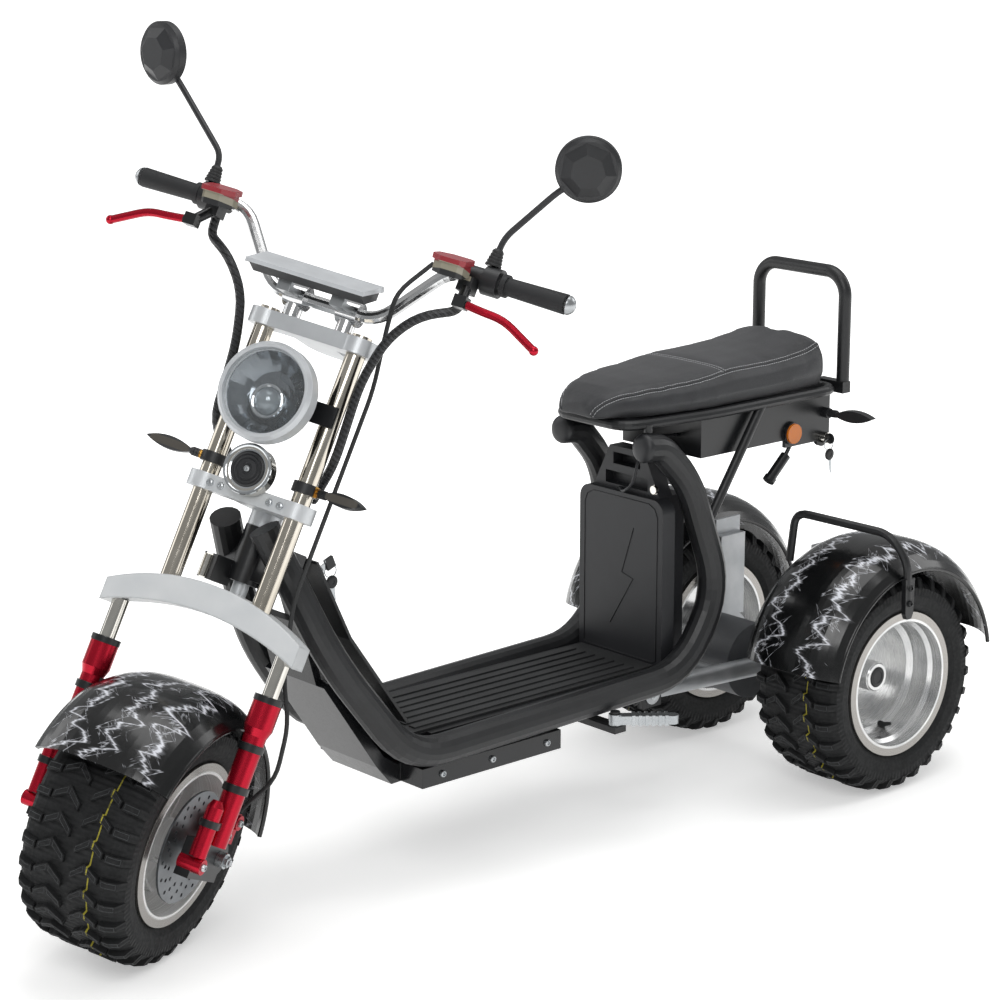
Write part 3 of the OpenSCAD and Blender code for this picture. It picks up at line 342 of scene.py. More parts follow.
def wrapped_loom():
    """Spiral-cut polyethylene wrap round the cable bundles: black rings about 9 mm apart with dark gaps."""
    tree, shader, place = blank("spiral_wrap")
    axes = own_frame(tree, place, STEERED)
    slope = add(tree, MATH, (axes["x"], 0.35, axes["z"]), operation="MULTIPLY_ADD")
    phase = add(tree, MATH, (slope, 0.7), operation="MULTIPLY")
    wave = add(tree, MATH, (phase,), operation="SINE")
    tone = add(tree, RANGE, (wave, -0.6, 0.2))
    rings = add(tree, RANGE, (wave, -0.7, 0.1))
    feed(shader, {
        "Base Color": add(tree, MIX, {"Factor": tone, "A": srgb("#0b0c0d"), "B": srgb("#26272a")}, **TINT),
        "Roughness": 0.38,
        "Normal": add(tree, BUMP, {"Height": rings, "Distance": 1.4 * MM}),
    })


def grained_vinyl(colour):
    """Vinyl seat cover: charcoal, dull, with a fine pebble grain and painted shade that darkens the creases between
    the pebbles.
    """
    tree, shader, place = blank("grained_vinyl")
    # Pebbles drawn at 2.4 mm, a little coarser than the real 1.5 mm, so that they show
    pebbles = add(tree, "ShaderNodeTexVoronoi", {"Vector": place, "Scale": 1 / (2.4 * MM)}, "Distance")
    fine = add(tree, NOISE, {"Vector": place, "Scale": 1 / (1.2 * MM), "Detail": 4.0})
    patches = drift(tree, place, 60.0)
    tone = add(tree, MIX, {"Factor": patches, "A": shade(colour, 0.63), "B": shade(colour)}, **TINT)
    # Painted shade: darker towards the edges of the pebbles, in the creases between them
    crease_shade = add(tree, RANGE, (pebbles, 0.35, 0.75, 0.0, 0.45))
    low = add(tree, BUMP, {"Height": pebbles, "Distance": 0.18 * MM, "Strength": 0.8}, invert=True)
    feed(shader, {
        "Base Color": add(tree, MIX, {"Factor": crease_shade, "A": tone, "B": shade(colour, 0.45)}, **TINT),
        "Roughness": add(tree, RANGE, (fine, *MOST, 0.46, 0.60)),
        "Sheen Weight": 0.12,
        "Sheen Roughness": 0.5,
        "Normal": add(tree, BUMP, {"Height": fine, "Distance": 0.08 * MM, "Normal": low}),
    })


def seam_thread():
    """Bonded nylon thread: pale grey stitches about 6 mm long, with dark gaps where they dive."""
    tree, shader, place = blank("nylon_thread")
    parts = add(tree, SPLIT, (place,)).node.outputs
    both = add(tree, MATH, (parts["X"], parts["Y"]), operation="ADD")
    phase = add(tree, MATH, (both, STITCH_TURN), operation="MULTIPLY")
    wave = add(tree, MATH, (phase,), operation="SINE")
    tone = add(tree, RANGE, (wave, -0.8, -0.5))
    feed(shader, {
        "Base Color": add(tree, MIX, {"Factor": tone, "A": srgb("#2b2c2e"), "B": srgb("#a9aaac")}, **TINT),
        "Roughness": 0.6,
    })


def clear_lens():
    """Moulded polycarbonate: clear face on, brighter towards its edge, with a sharp gloss."""
    tree, shader, _ = blank("clear_polycarbonate")
    edge = add(tree, "ShaderNodeLayerWeight", {"Blend": 0.35}, "Fresnel")
    feed(shader, {
        "Base Color": srgb("#eef2f4"),
        "Roughness": 0.03,
        "Alpha": add(tree, RANGE, (edge, 0.0, 0.8, 0.02, 0.5)),
    })


# Plain finishes: dark and light tone, metallic, least and most roughness, then in millimetres the grain's size, the
# depth of its bump and the width of the broken edges
FINISHES = {
    # Lacquered cast aluminium: pale silver paint, half metallic, soft highlights
    "lacquered_casting": ("#c8cbce", "#d8dbdd", 0.35, (0.3, 0.4), 1.2, 0.02, 1.5),
    # White-silver enamel of the arched bridge: even and satin
    "silver_enamel": ("#d6d9db", "#e2e4e5", 0.1, (0.28, 0.36), 2.0, 0.015, 6.0),
    # Champagne-tinted chrome plate: mirror-like with a warm tone
    "champagne_chrome": ("#bcb5a8", "#cbc5ba", 1.0, (0.08, 0.16), 20.0, 0.0, 0.6),
    # Polished aluminium tube: bright with soft streaks
    "polished_tube": ("#cdcecf", "#dcdcdc", 1.0, (0.12, 0.2), 8.0, 0.0, 0.6),
    # Moulded ABS with a fine leather texture: flat black
    "textured_abs": ("#1a1b1d", "#232427", 0.0, (0.4, 0.52), 0.9, 0.03, 0.8),
    # Glossy ABS of the belly panel: black with clear reflections
    "gloss_abs": ("#141517", "#1a1b1e", 0.0, (0.16, 0.24), 10.0, 0.0, 1.2),
    # Moulded rubber of mat, hose and boots: dull and slightly grey
    "moulded_rubber": ("#1b1c1d", "#272829", 0.0, (0.52, 0.68), 1.4, 0.05, 0.8),
    # Sand-cast aluminium of the swing arm: grey, rough, half bright
    "sand_cast_aluminium": ("#9a9da0", "#b8babc", 0.85, (0.36, 0.52), 2.2, 0.06, 1.2),
    # Zinc-plated steel of bolts and pegs: cool grey with blurred reflections
    "zinc_plate": ("#a3a7aa", "#bcbfc1", 0.95, (0.24, 0.36), 3.0, 0.0, 0.4),
    # Ground steel of the brake disc: dark and satin
    "ground_steel": ("#6d7073", "#84878a", 1.0, (0.28, 0.4), 1.5, 0.0, 0.6),
    # Painted motor case: dark grey with a faint orange peel
    "motor_enamel": ("#3c3e41", "#484a4d", 0.0, (0.4, 0.5), 1.8, 0.03, 0.6),
    # Silvered plastic of reflectors and mirror glass: almost a mirror
    "vacuum_silver": ("#b9bdc0", "#d3d6d8", 1.0, (0.04, 0.09), 6.0, 0.0, 0.2),
    # Rubber of the lug outlines, lighter grey: a painted highlight along the edges of the lugs, partly wear
    "lug_highlight_rubber": ("#303234", "#3c3e40", 0.0, (0.46, 0.6), 1.4, 0.0, 0.3),
    # Silver of the headlight's reflector, darkened: painted shade for the dim inside of the lamp, dark between its
    # bright facets
    "shaded_reflector_silver": ("#6b7177", "#8d9398", 1.0, (0.05, 0.12), 6.0, 0.0, 0.2),
    # Satin black paint on bolts and key heads
    "black_oxide": ("#131416", "#1e1f21", 0.3, (0.3, 0.42), 1.5, 0.0, 0.4),
}


def make_finishes(look):
    """Materials of the whole scooter."""
    for name, (dark, light, *rest) in FINISHES.items():
        finish(name, srgb(dark), srgb(light), *rest)
    # Powder-coated steel: satin black with a faint orange peel
    finish("powder_coated_steel", shade(look.frame_colour, 0.55), shade(look.frame_colour), 0.0, (0.36, 0.48), 3.0,
           0.03, 1.0)
    # Red anodised aluminium: saturated, metallic, satin
    finish("red_anodised", shade(look.accent_colour, 0.69), shade(look.accent_colour), 0.75, (0.24, 0.34), 2.0,
           0.0, 0.8)
    for tag, hub, bands in (("left", CHASSIS @ Matrix.Translation((FENDER_OUT, 0, 0.01)), (-40, 68)),
                            ("right", CHASSIS @ Matrix.Translation((-FENDER_OUT, 0, 0.01)), (40, -68)),
                            ("front", STEERED, (-66, 2, 70))):
        flash_lacquer("flash_lacquer_" + tag, hub, bands, look.flash_colour)
    wrapped_loom()
    grained_vinyl(look.seat_colour)
    seam_thread()
    clear_lens()
    for wheel in WHEELS:
        tyre_rubber(wheel)
        turned_aluminium(wheel)
    ZONE["red_anodised"] = (shade(look.accent_colour, 0.88), 0.75, 0.27)
    for sign, tag in ((1, "left"), (-1, "right")):
        zoned("fork_lower_" + tag, STEERED, "red_anodised", [
            ("chrome", {"z": (272, 400)}),
            ("black_enamel", {"z": (261.5, 272.5)}),
            ("black_enamel", {"z": (109.5, 122.5), "xy": (156, -38, 24)}),
            ("black_enamel", {"z": (179.5, 192.5), "xy": (156, -38, 24)}),
            ("black_enamel", {"z": (45, 59), "y": (-110, -57)}),
            ("black_enamel", {"z": (45, 59), "xy": (154, -82, 18)}),
            ("black_enamel", {"x": (120, 154.2), "z": (-60, 31)}),
            ("red_anodised", {"xy": (154, -82, 14.5), "z": (-3, 90)}),
            ("red_anodised", {"yz": (-82, -16, 13.5)})], sign)
        zoned("grip_" + tag, STEERED, "black_rubber", [("zinc", {"x": (404.3, 440)})], sign)
        zoned("controls_" + tag, STEERED, "black_plastic", [
            ("bowl_resin", {"x": (180, 246), "y": (-140, -62), "z": (1008, 1060)}),
            ("lid_red", {"x": (180, 250), "y": (-140, -55), "z": (1019, 1070)}),
            ("black_enamel", {"x": (239, 268), "y": (-120, -75), "z": (940, 1000)}),
            ("red_anodised", {"x": (266, 440), "y": (-140, -70), "z": (900, 985)})], sign)
        front = Matrix.Translation((sign * 0.107, -0.038, 0.608)) @ rotated(sign * -14, "Z")
        zoned("front_signal_" + tag, STEERED @ front, "black_plastic", [
            ("amber_smoke", {"x": (26, 94), "z": (-6.5, 6.5), "y": (-12, -8.6)}),
            ("brass", {"x": (3, 8)})], sign)
        rear = Matrix.Translation((sign * 0.1123, 0.020, 0.490)) @ rotated(sign * 12, "Z")
        zoned("rear_signal_" + tag, CHASSIS @ rear, "black_plastic", [
            ("amber_smoke", {"x": (24, 92), "z": (-6.5, 6.5), "y": (8.6, 12)})], sign)
    slope = STEERED @ Matrix.Translation((0, -0.108, 0.937)) @ rotated(21.4, "X")
    zoned("dash", slope, "cast_silver", [
        ("black_plastic", {"z": (-18.2, -0.5)}), ("zinc", {"z": (-90, -18.2)})])
    zoned("battery_pack", CHASSIS, "charcoal_case", [
        ("chrome", {"xz": (76, 401.3, 8.8), "y": (-420, -409.2)})])
    zoned("head_tube", FORK @ Matrix.Translation((0, AXIS_BACK, 0)), "black_enamel", [
        ("chrome", {"xy": (-30, -62, 8.6), "z": (400, 470)})])
    zoned("tail_box", CHASSIS, "black_enamel", [
        ("amber_resin", {"x": (109.6, 120), "yz": (-75, 463, 19.4)}),
        ("amber_resin", {"x": (-120, -109.6), "yz": (-75, 463, 19.4)}),
        ("chrome", {"x": (104.5, 120), "yz": (15, 442, 12)}),
        ("red_resin", {"y": (45.5, 70)})])
    zoned("headlight", STEERED, "cast_silver", [
        ("black_enamel", {"y": (-103.6, -40)}), ("lens_glass", {"xz": (0, 719, 28), "y": (-128, -95)})])
    zoned("horn", STEERED, "chrome", [
        ("black_plastic", {"xz": (0, 606, 31), "y": (-95, -80)}), ("black_plastic", {"y": (-65.8, -30)})])
    zoned("ignition_lock", CHASSIS, "zinc", [("black_plastic", {"y": (-1148, -1000)})])


# The solids of each plain material
CAD_FINISH = {
    "powder_coated_steel": "frame_tube_left frame_tube_right floor_pan leg_shield seat_rail grab_rail "
                           "fender_guard_left fender_guard_right",
    "flash_lacquer_left": "rear_fender_left",
    "flash_lacquer_right": "rear_fender_right",
    "flash_lacquer_front": "front_fender",
    "lacquered_casting": "top_clamp mid_clamp",
    "silver_enamel": "fork_bridge",
    "champagne_chrome": "fork_leg_left fork_leg_right",
    "polished_tube": "handlebar",
    "textured_abs": "mirror_left mirror_right",
    "gloss_abs": "belly_panel",
    "moulded_rubber": "floor_mat brake_hose seat",
    "spiral_wrap": "harness",
    "sand_cast_aluminium": "swing_arm axle_housing",
    "zinc_plate": "front_axle footpeg_left footpeg_right",
    "ground_steel": "brake_disc",
    "motor_enamel": "drive_motor",
    "red_anodised": "brake_caliper",
}


def clothe(piece, material):
    """Give a piece one material."""
    piece.data.materials.clear()
    piece.data.materials.append(MADE[material])


def begin():
    """Leave edit mode with nothing selected."""
    if bpy.context.mode != "OBJECT":
        bpy.ops.object.mode_set(mode="OBJECT")
    bpy.ops.object.select_all(action="DESELECT")


def only(piece):
    """Select one piece and make it active."""
    begin()
    piece.select_set(True)
    bpy.context.view_layer.objects.active = piece


def edit_all():
    """Edit the active piece with all of it selected."""
    bpy.ops.object.mode_set(mode="EDIT")
    bpy.ops.mesh.select_all(action="SELECT")


def close_edit():
    """Turn all faces of the edited piece outwards and leave edit mode."""
    bpy.ops.mesh.select_all(action="SELECT")
    bpy.ops.mesh.normals_make_consistent(inside=False)
    bpy.ops.object.mode_set(mode="OBJECT")


def drawn_out(move, scale, centre):
    """Extrude the selected faces by a move, and scale them about a centre."""
    bpy.ops.mesh.extrude_region_move(TRANSFORM_OT_translate={"value": move, "orient_type": "GLOBAL"})
    bpy.ops.transform.resize(value=scale, center_override=centre)


def facing(home, at, way):
    """A place in millimetres of a home frame, whose z axis points the given way."""
    turn = Vector(way).to_track_quat("Z", "Y").to_matrix().to_4x4()
    return home @ Matrix.Translation(Vector(at) * MM) @ turn


def turned(name, rings, sides=48):
    """A shape turned about z through rings of radius and height in millimetres, closed at both ends."""
    begin()
    radius, height = rings[0]
    bpy.ops.mesh.primitive_circle_add(vertices=sides, radius=radius * MM, fill_type="NGON", location=(0, 0, 0))
    piece = bpy.context.object
    piece.name = name
    edit_all()
    bpy.ops.transform.translate(value=(0, 0, height * MM))
    for wide, high in rings[1:]:
        drawn_out((0, 0, (high - height) * MM), (wide / radius, wide / radius, 1), (0, 0, 0))
        radius, height = wide, high
    close_edit()
    return piece


def settle(piece, place, material, smooth=35.0):
    """Put a modelled piece in its place, shade it and give it its material."""
    only(piece)
    piece.matrix_world = place
    bpy.ops.object.transform_apply(location=True, rotation=True, scale=True)
    bpy.ops.object.shade_smooth_by_angle(angle=math.radians(smooth))
    clothe(piece, material)
    return piece


def joined(pieces, name):
    """One piece of several."""
    begin()
    for piece in pieces:
        piece.select_set(True)
    bpy.context.view_layer.objects.active = pieces[0]
    if len(pieces) > 1:
        bpy.ops.object.join()
    pieces[0].name = name
    return pieces[0]


def repeated(pattern, name, places, material, body):
    """Copies of a pattern at their places, as one piece that rides on a body."""
    copies = []
    for place in places:
        only(pattern)
        bpy.ops.object.duplicate(linked=False)
        copies.append(settle(bpy.context.object, place, material))
    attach(joined(copies, name), body)


def strand(name, points, radius, material, sides=2, closed=False):
    """A round strand through points, or round them, made a mesh."""
    begin()
    line = bpy.data.curves.new(name, "CURVE")
    line.dimensions = "3D"
    line.bevel_depth = radius
    line.bevel_resolution = sides
    line.use_fill_caps = True
    run = line.splines.new("POLY")
    run.points.add(len(points) - 1)
    for spot, point in zip(run.points, points):
        spot.co = (*point, 1.0)
    run.use_cyclic_u = closed
    piece = bpy.data.objects.new(name, line)
    bpy.context.scene.collection.objects.link(piece)
    only(piece)
    bpy.ops.object.convert(target="MESH")
    return settle(bpy.context.object, Matrix.Identity(4), material, 60.0)


# Half profile of the foam as shares of its half width and height
SEAT_PROFILE = [(0.92, 0), (1.0, 0.30), (0.97, 0.62), (0.84, 0.87), (0.6, 0.94), (0.3, 0.985), (0, 1)]
# Stations of the foam in millimetres: place along the trike, half width and height above the base
SEAT_STATIONS = [(-546, 44, 8), (-541, 54, 22), (-526, 68, 37), (-498, 84, 48), (-450, 105, 55), (-400, 118, 59),
                 (-350, 125, 61), (-300, 129, 66), (-250, 129, 71), (-200, 129, 72), (-150, 129, 74),
                 (-100, 129, 78), (-50, 127, 85), (-10, 122, 93), (8, 114, 94), (22, 102, 76), (28, 86, 14)]
# The same of the seat's side seam
SEAT_SEAM = [(-548, 42, 8), (-544, 49, 20), (-528, 59, 32), (-500, 73, 43), (-450, 91, 50), (-400, 102, 54),
             (-350, 107, 56), (-300, 110, 60), (-250, 110, 66), (-200, 110, 67), (-150, 110, 67), (-100, 110, 69),
             (-50, 109, 74), (-10, 106, 81), (14, 99, 84), (28, 90, 72), (33, 84, 46)]
# The cross seam: distance across and height above the base, and how far it bows forward between its ends
CROSS_SEAM = [(-110, 66), (-80, 70), (-40, 73), (0, 74), (40, 73), (80, 70), (110, 66)]
CROSS_HALF, CROSS_AT, CROSS_BOW = 110, -262, 14
# Profile and stations of the pan under the foam
PAN_PROFILE = [(0.97, -1), (1.0, -0.8), (1.0, 0.15), (0, 0.15)]
PAN_STATIONS = [(-488, 62, 12), (-482, 74, 17), (-440, 84, 18), (-400, 92, 18), (-300, 104, 18), (8, 104, 18),
                (18, 98, 18), (22, 90, 14)]
# Lengths of the seat's sewing in metres
SEAM_STEP = 0.004
SEAM_REACH, SEAM_ABOVE = 0.009, 0.006
WELT_R, THREAD_R = 0.0013, 0.0008
STITCH_ASIDE, PROUD = 0.0036, 0.0002
SWELL_FRAMES = 20


def through(points, step):
    """Points a step apart along a smooth line through the given ones."""
    path = []
    for i in range(len(points) - 1):
        a, b, c, d = (points[max(0, min(len(points) - 1, i + k))] for k in (-1, 0, 1, 2))
        n = max(2, round((c - b).length / step))
        for k in range(n):
            t = k / n
            path.append(0.5 * (2 * b + (c - a) * t + (2 * a - 5 * b + 4 * c - d) * t * t
                               + (3 * b - a - 3 * c + d) * t ** 3))
    return path + [points[-1]]


def on_seat(x, y, z):
    """A point of the seat, in millimetres across, along the trike and above the base."""
    return Vector((x * MM, REAR_AXLE_Y + y * MM, SEAT_BASE + z * MM))


def seam_lines():
    """Both side seams and the cross seam of the seat, before they are laid on its cover."""
    lines = [[on_seat(sign * x, y, z) for y, x, z in SEAT_SEAM] for sign in BOTH]
    lines.append([on_seat(x, CROSS_AT - CROSS_BOW * (1 - (x / CROSS_HALF) ** 2), z) for x, z in CROSS_SEAM])
    return [through(line, SEAM_STEP) for line in lines]


def lofted(name, half, stations):
    """A cushion: one profile extruded from station to station, each at its own width and height."""
    begin()
    loop = half + [(-x, z) for x, z in half[-2::-1]]
    place, wide, high = stations[0]
    bpy.ops.mesh.primitive_circle_add(vertices=len(loop), radius=0.05, fill_type="NGON", location=(0, 0, 0))
    piece = bpy.context.object
    piece.name = name
    for vertex, (x, z) in zip(piece.data.vertices, loop):
        vertex.co = on_seat(x * wide, place, z * high)
    edit_all()
    for there, width, height in stations[1:]:
        drawn_out((0, (there - place) * MM, 0), (width / wide, 1, height / high), (0, 0, SEAT_BASE))
        place, wide, high = there, width, height
    close_edit()
    return piece


def swell(context, cover, look):
    """Blow the cover up with a short cloth run, held within the seat's swell and above its base."""
    start = [vertex.co.copy() for vertex in cover.data.vertices]
    cloth = cover.modifiers.new("Cloth", "CLOTH")
    cloth.settings.use_pressure = True
    cloth.settings.uniform_pressure_force = look.seat_pressure
    cloth.settings.effector_weights.gravity = 0.0
    cloth.point_cache.frame_start, cloth.point_cache.frame_end = 1, SWELL_FRAMES
    for step in range(1, SWELL_FRAMES + 1):
        context.scene.frame_set(step)
    bpy.ops.object.modifier_apply(modifier="Cloth")
    context.scene.frame_set(1)
    for vertex, rest in zip(cover.data.vertices, start):
        move = vertex.co - rest
        if move.length > look.seat_swell:
            vertex.co = rest + move * (look.seat_swell / move.length)
        vertex.co.z = max(vertex.co.z, SEAT_BASE)


def pull_in(cover, lines, depth):
    """Pull the cover in along its seams, then relax and refine it."""
    points = [point for line in lines for point in line]
    tree = KDTree(len(points))
    for i, point in enumerate(points):
        tree.insert(point, i)
    tree.balance()
    for vertex in cover.data.vertices:
        if vertex.co.z > SEAT_BASE + SEAM_ABOVE:
            far = tree.find(vertex.co)[2]
            vertex.co -= vertex.normal * depth * math.exp(-(far / SEAM_REACH) ** 2)
    only(cover)
    relax = cover.modifiers.new("Relax", "SMOOTH")
    relax.factor, relax.iterations = 0.5, 3
    bpy.ops.object.modifier_apply(modifier="Relax")
    refine = cover.modifiers.new("Refine", "SUBSURF")
    refine.levels = refine.render_levels = 1
    bpy.ops.object.modifier_apply(modifier="Refine")
    bpy.ops.object.shade_smooth()


def sewn(cover, i, line):
    """The welt on a seam of the cover, and a row of stitches on each side of it."""
    laid = [cover.closest_point_on_mesh(point)[1:3] for point in line]
    last = len(laid) - 1
    flow = [(laid[min(k + 1, last)][0] - laid[max(k - 1, 0)][0]).normalized() for k in range(len(laid))]
    welt = [at + out * PROUD for at, out in laid]
    strands = [strand(f"seat_welt_{i}", welt, WELT_R, "grained_vinyl")]
    for sign in BOTH:
        row = []
        for (at, out), way in zip(laid, flow):
            beside = at + out.cross(way).normalized() * sign * STITCH_ASIDE + out * 0.0003
            row.append(cover.closest_point_on_mesh(beside)[1] + out * PROUD)
        strands.append(strand(f"seat_stitch_{i}_{sign}", row, THREAD_R, "nylon_thread"))
    return strands


class SCOOTER_OT_seat(bpy.types.Operator):
    """Blow up the seat cover over its foam, pull its seams in and sew them"""
    bl_idname = "scooter.seat"
    bl_label = "Seat"

    def execute(self, context):
        look = context.scene.scooter_look
        cover = lofted("seat_cover", SEAT_PROFILE, SEAT_STATIONS)
        cover.data.remesh_voxel_size = look.seat_voxel
        bpy.ops.object.voxel_remesh()
        swell(context, cover, look)
        lines = seam_lines()
        pull_in(cover, lines, look.seam_depth)
        clothe(cover, "grained_vinyl")
        fitted = [piece for i, line in enumerate(lines) for piece in sewn(cover, i, line)]
        fitted.append(settle(lofted("seat_pan", PAN_PROFILE, PAN_STATIONS), Matrix.Identity(4), "textured_abs"))
        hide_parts("seat")
        for piece in (cover, *fitted):
            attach(piece, "frame")
        return {"FINISHED"}


# Turned pieces that face ahead on the fork: rings, sides, place in millimetres, material and smoothing angle
LAMP_PIECES = {
    # The reflector's silver is darkened, painted shade for the dim inside of the lamp
    "lamp_reflector": ([(39.5, -11.8), (69.4, 21.6), (67.8, 21.6), (61, 13), (55.5, 7), (48, 0), (40, -6),
                        (30, -9.5)], 20, (0, -104, 731), "shaded_reflector_silver", 8.0),
    "lamp_lens": ([(71.4, 22.6), (71.4, 25.5), (68, 27.2), (58, 29.6), (44, 31.4), (26, 32.6), (9, 33)], 64,
                  (0, -104, 731), "clear_polycarbonate", 40.0),
    "lamp_bezel": ([(24.6, 1.5), (29.5, 1.5), (30, 4), (28.6, 6.8), (26, 7.6), (23.2, 6.6), (22.6, 3)], 48,
                   (0, -104, 719), "vacuum_silver", 35.0),
    "horn_face": ([(29.4, 0), (29.4, 1.4), (27, 2.6), (25.4, 1.2), (23.8, 1.2), (22.4, 2.8), (20.6, 2.8),
                   (19.2, 1.4), (17.6, 1.4), (16.2, 3), (9.5, 3.6), (8.4, 2.2), (6.4, 2.2)], 48,
                  (0, -88.8, 606), "textured_abs", 35.0),
    "horn_screw": ([(5.2, 0), (5.2, 1.6), (4.4, 2.6), (2.2, 3), (2.0, 1.8)], 20, (0, -91, 606), "zinc_plate", 35.0),
    "horn_ring": ([(33.4, 0), (42.2, 0), (43, 2), (42.2, 4.4), (39, 5), (35, 2.4)], 64, (0, -86.5, 606),
                  "vacuum_silver", 35.0),
}


class SCOOTER_OT_lamp(bpy.types.Operator):
    """Fit the headlight's reflector, projector bezel and clear lens, and the face of the horn"""
    bl_idname = "scooter.lamp"
    bl_label = "Lamp and horn"

    def execute(self, context):
        for name, (rings, sides, at, material, smooth) in LAMP_PIECES.items():
            piece = turned(name, rings, sides)
            settle(piece, facing(STEERED, at, (0, -1, 0)), material, smooth)
            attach(piece, "steering")
        return {"FINISHED"}


class SCOOTER_OT_mirrors(bpy.types.Operator):
    """Set the mirror glasses in their shells and the ribbed boots on their stems"""
    bl_idname = "scooter.mirrors"
    bl_label = "Mirrors"

    def execute(self, context):
        flip = Matrix.Scale(-1, 4, (1, 0, 0))
        glass = turned("mirror_glass", [(50.5, 0), (50.5, 1.0), (49, 1.6), (30, 2.1)])
        boot = turned("mirror_boot", [(14, 0.5), (14, 4), (12, 5.5), (13, 7), (13, 9.5), (11.2, 11), (12, 12.5),
                                      (12, 15), (10.2, 16.5), (11, 18), (11, 20.5), (9.2, 22), (10, 23.5), (10, 26),
                                      (7.6, 29)], 24)
        backs, stems = [], []
        for sign, at, turn, stem in ((1, (362, -50, 1242), 22, 258), (-1, (444, -50, 1236), 20, 276)):
            shell = (Matrix.Translation(Vector(at) * MM) @ Matrix.Rotation(RAKE, 4, "X") @ rotated(turn, "Z")
                     @ rotated(90, "X") @ Matrix.Translation((0, 0, -0.008)) @ rotated(180, "X"))
            backs.append(STEERED @ (shell if sign > 0 else flip @ shell @ flip))
            stems.append(facing(STEERED, (sign * stem, -34, 1048.3), (0, 0, 1)))
        repeated(glass, "mirror_glasses", backs, "vacuum_silver", "steering")
        repeated(boot, "mirror_boots", stems, "moulded_rubber", "steering")
        for pattern in (glass, boot):
            bpy.data.objects.remove(pattern)
        return {"FINISHED"}


# Patterns of the small fittings: rings and sides
FITTINGS = {
    "socket_bolt": ([(6.4, 0), (6.4, 2.6), (5.4, 4.4), (3.2, 5), (3.0, 2.6)], 24),
    "hex_nut": ([(9.6, 0), (9.6, 5.4), (8.2, 6.4), (5.6, 6.4), (5.6, 9), (4.6, 10)], 6),
    "tube_cap": ([(26.6, -2), (26.8, 3), (24.6, 8), (19, 11.6), (10, 13.4)], 32),
    "hub_cap": ([(19.6, 0), (19.6, 4.4), (17.6, 7), (12, 8.2), (11.4, 7), (5, 7)], 48),
    "tyre_valve": ([(8, 0), (7, 5), (4.2, 9), (4.2, 20), (3.2, 21), (3.2, 29), (2.4, 30)], 20),
}
# Fittings in place: pattern, home, sides, places on the left in millimetres, the way they face, material and body
FITTED = {
    "guard_bolts": ("socket_bolt", CHASSIS, BOTH, ((383.2, -42, 208), (383.2, -42, 178)), (1, 0, 0),
                    "black_oxide", "frame"),
    "skirt_bolts": ("socket_bolt", CHASSIS, BOTH, ((141.9, -985, 2), (141.9, -870, 2), (141.9, -740, 2)), (1, 0, 0),
                    "zinc_plate", "frame"),
    "pivot_nuts": ("hex_nut", CHASSIS, BOTH, ((113.8, -446, 21),), (1, 0, 0), "zinc_plate", "frame"),
    "damper_bolts": ("socket_bolt", STEERED, BOTH, ((169.9, -82, -16),), (1, 0, 0), "zinc_plate", "steering"),
    "axle_nuts": ("hex_nut", STEERED, BOTH, ((167.9, 0, 0),), (1, 0, 0), "zinc_plate", "steering"),
    "caliper_bolts": ("socket_bolt", STEERED, (1,), ((133.9, 78, 60), (126.9, 66, 34)), (1, 0, 0),
                      "zinc_plate", "steering"),
    "clamp_bolts": ("socket_bolt", STEERED, BOTH, ((46, -64, 567), (66, -64, 567), (50, -55, 907)), (0, -1, 0),
                    "zinc_plate", "steering"),
    "tube_caps": ("tube_cap", CHASSIS, BOTH, ((108, -470, 494),), (-0.026, -0.99, 0.105), "textured_abs", "frame"),
}


class SCOOTER_OT_fasteners(bpy.types.Operator):
    """Screw in the bolts, nuts, hub caps and tyre valves"""
    bl_idname = "scooter.fasteners"
    bl_label = "Fasteners"

    def execute(self, context):
        made = {name: turned(name, *shape) for name, shape in FITTINGS.items()}
        for name, (pattern, home, signs, spots, (x, y, z), material, body) in FITTED.items():
            places = [facing(home, (s * at[0], *at[1:]), (s * x, y, z)) for s in signs for at in spots]
            repeated(made[pattern], name, places, material, body)
        for side, s in (("left", 1), ("right", -1)):
            hub = CHASSIS @ Matrix.Translation((s * HALF_TRACK, 0, 0))
            cap = facing(hub, (s * 28.2, 0, 0), (s, 0, 0))
            valve = facing(hub, (s * 20, 30, -106), (s, -0.1, 0.35))
            repeated(made["hub_cap"], "hub_cap_" + side, [cap], "textured_abs", "rear_wheel_" + side)
            repeated(made["tyre_valve"], "tyre_valve_" + side, [valve], "moulded_rubber", "rear_wheel_" + side)
        for pattern in made.values():
            bpy.data.objects.remove(pattern)
        return {"FINISHED"}


# Lugs round each side of a tyre, and the raised outlines on one: its turn in degrees, and its points out, round
# and across in millimetres
LUG_ROWS = 31
LUG_LINES = (
    (0.0, ((214.1, 12.3, 10), (214.1, 4.9, 10), (214.1, -12.5, 30.5), (214.1, -3.5, 30.5))),
    (0.0, ((214.1, -4.0, 35.5), (214.1, -13.0, 35.5), (214.1, -0.5, 55), (214.1, 6.9, 55))),
    (1.6, ((212.3, -4.2, 65.5), (211.9, -4.2, 74.7), (206.1, -4.2, 88.5),
           (206.1, 4.2, 88.5), (211.9, 4.2, 74.7), (212.3, 4.2, 65.5))),
)


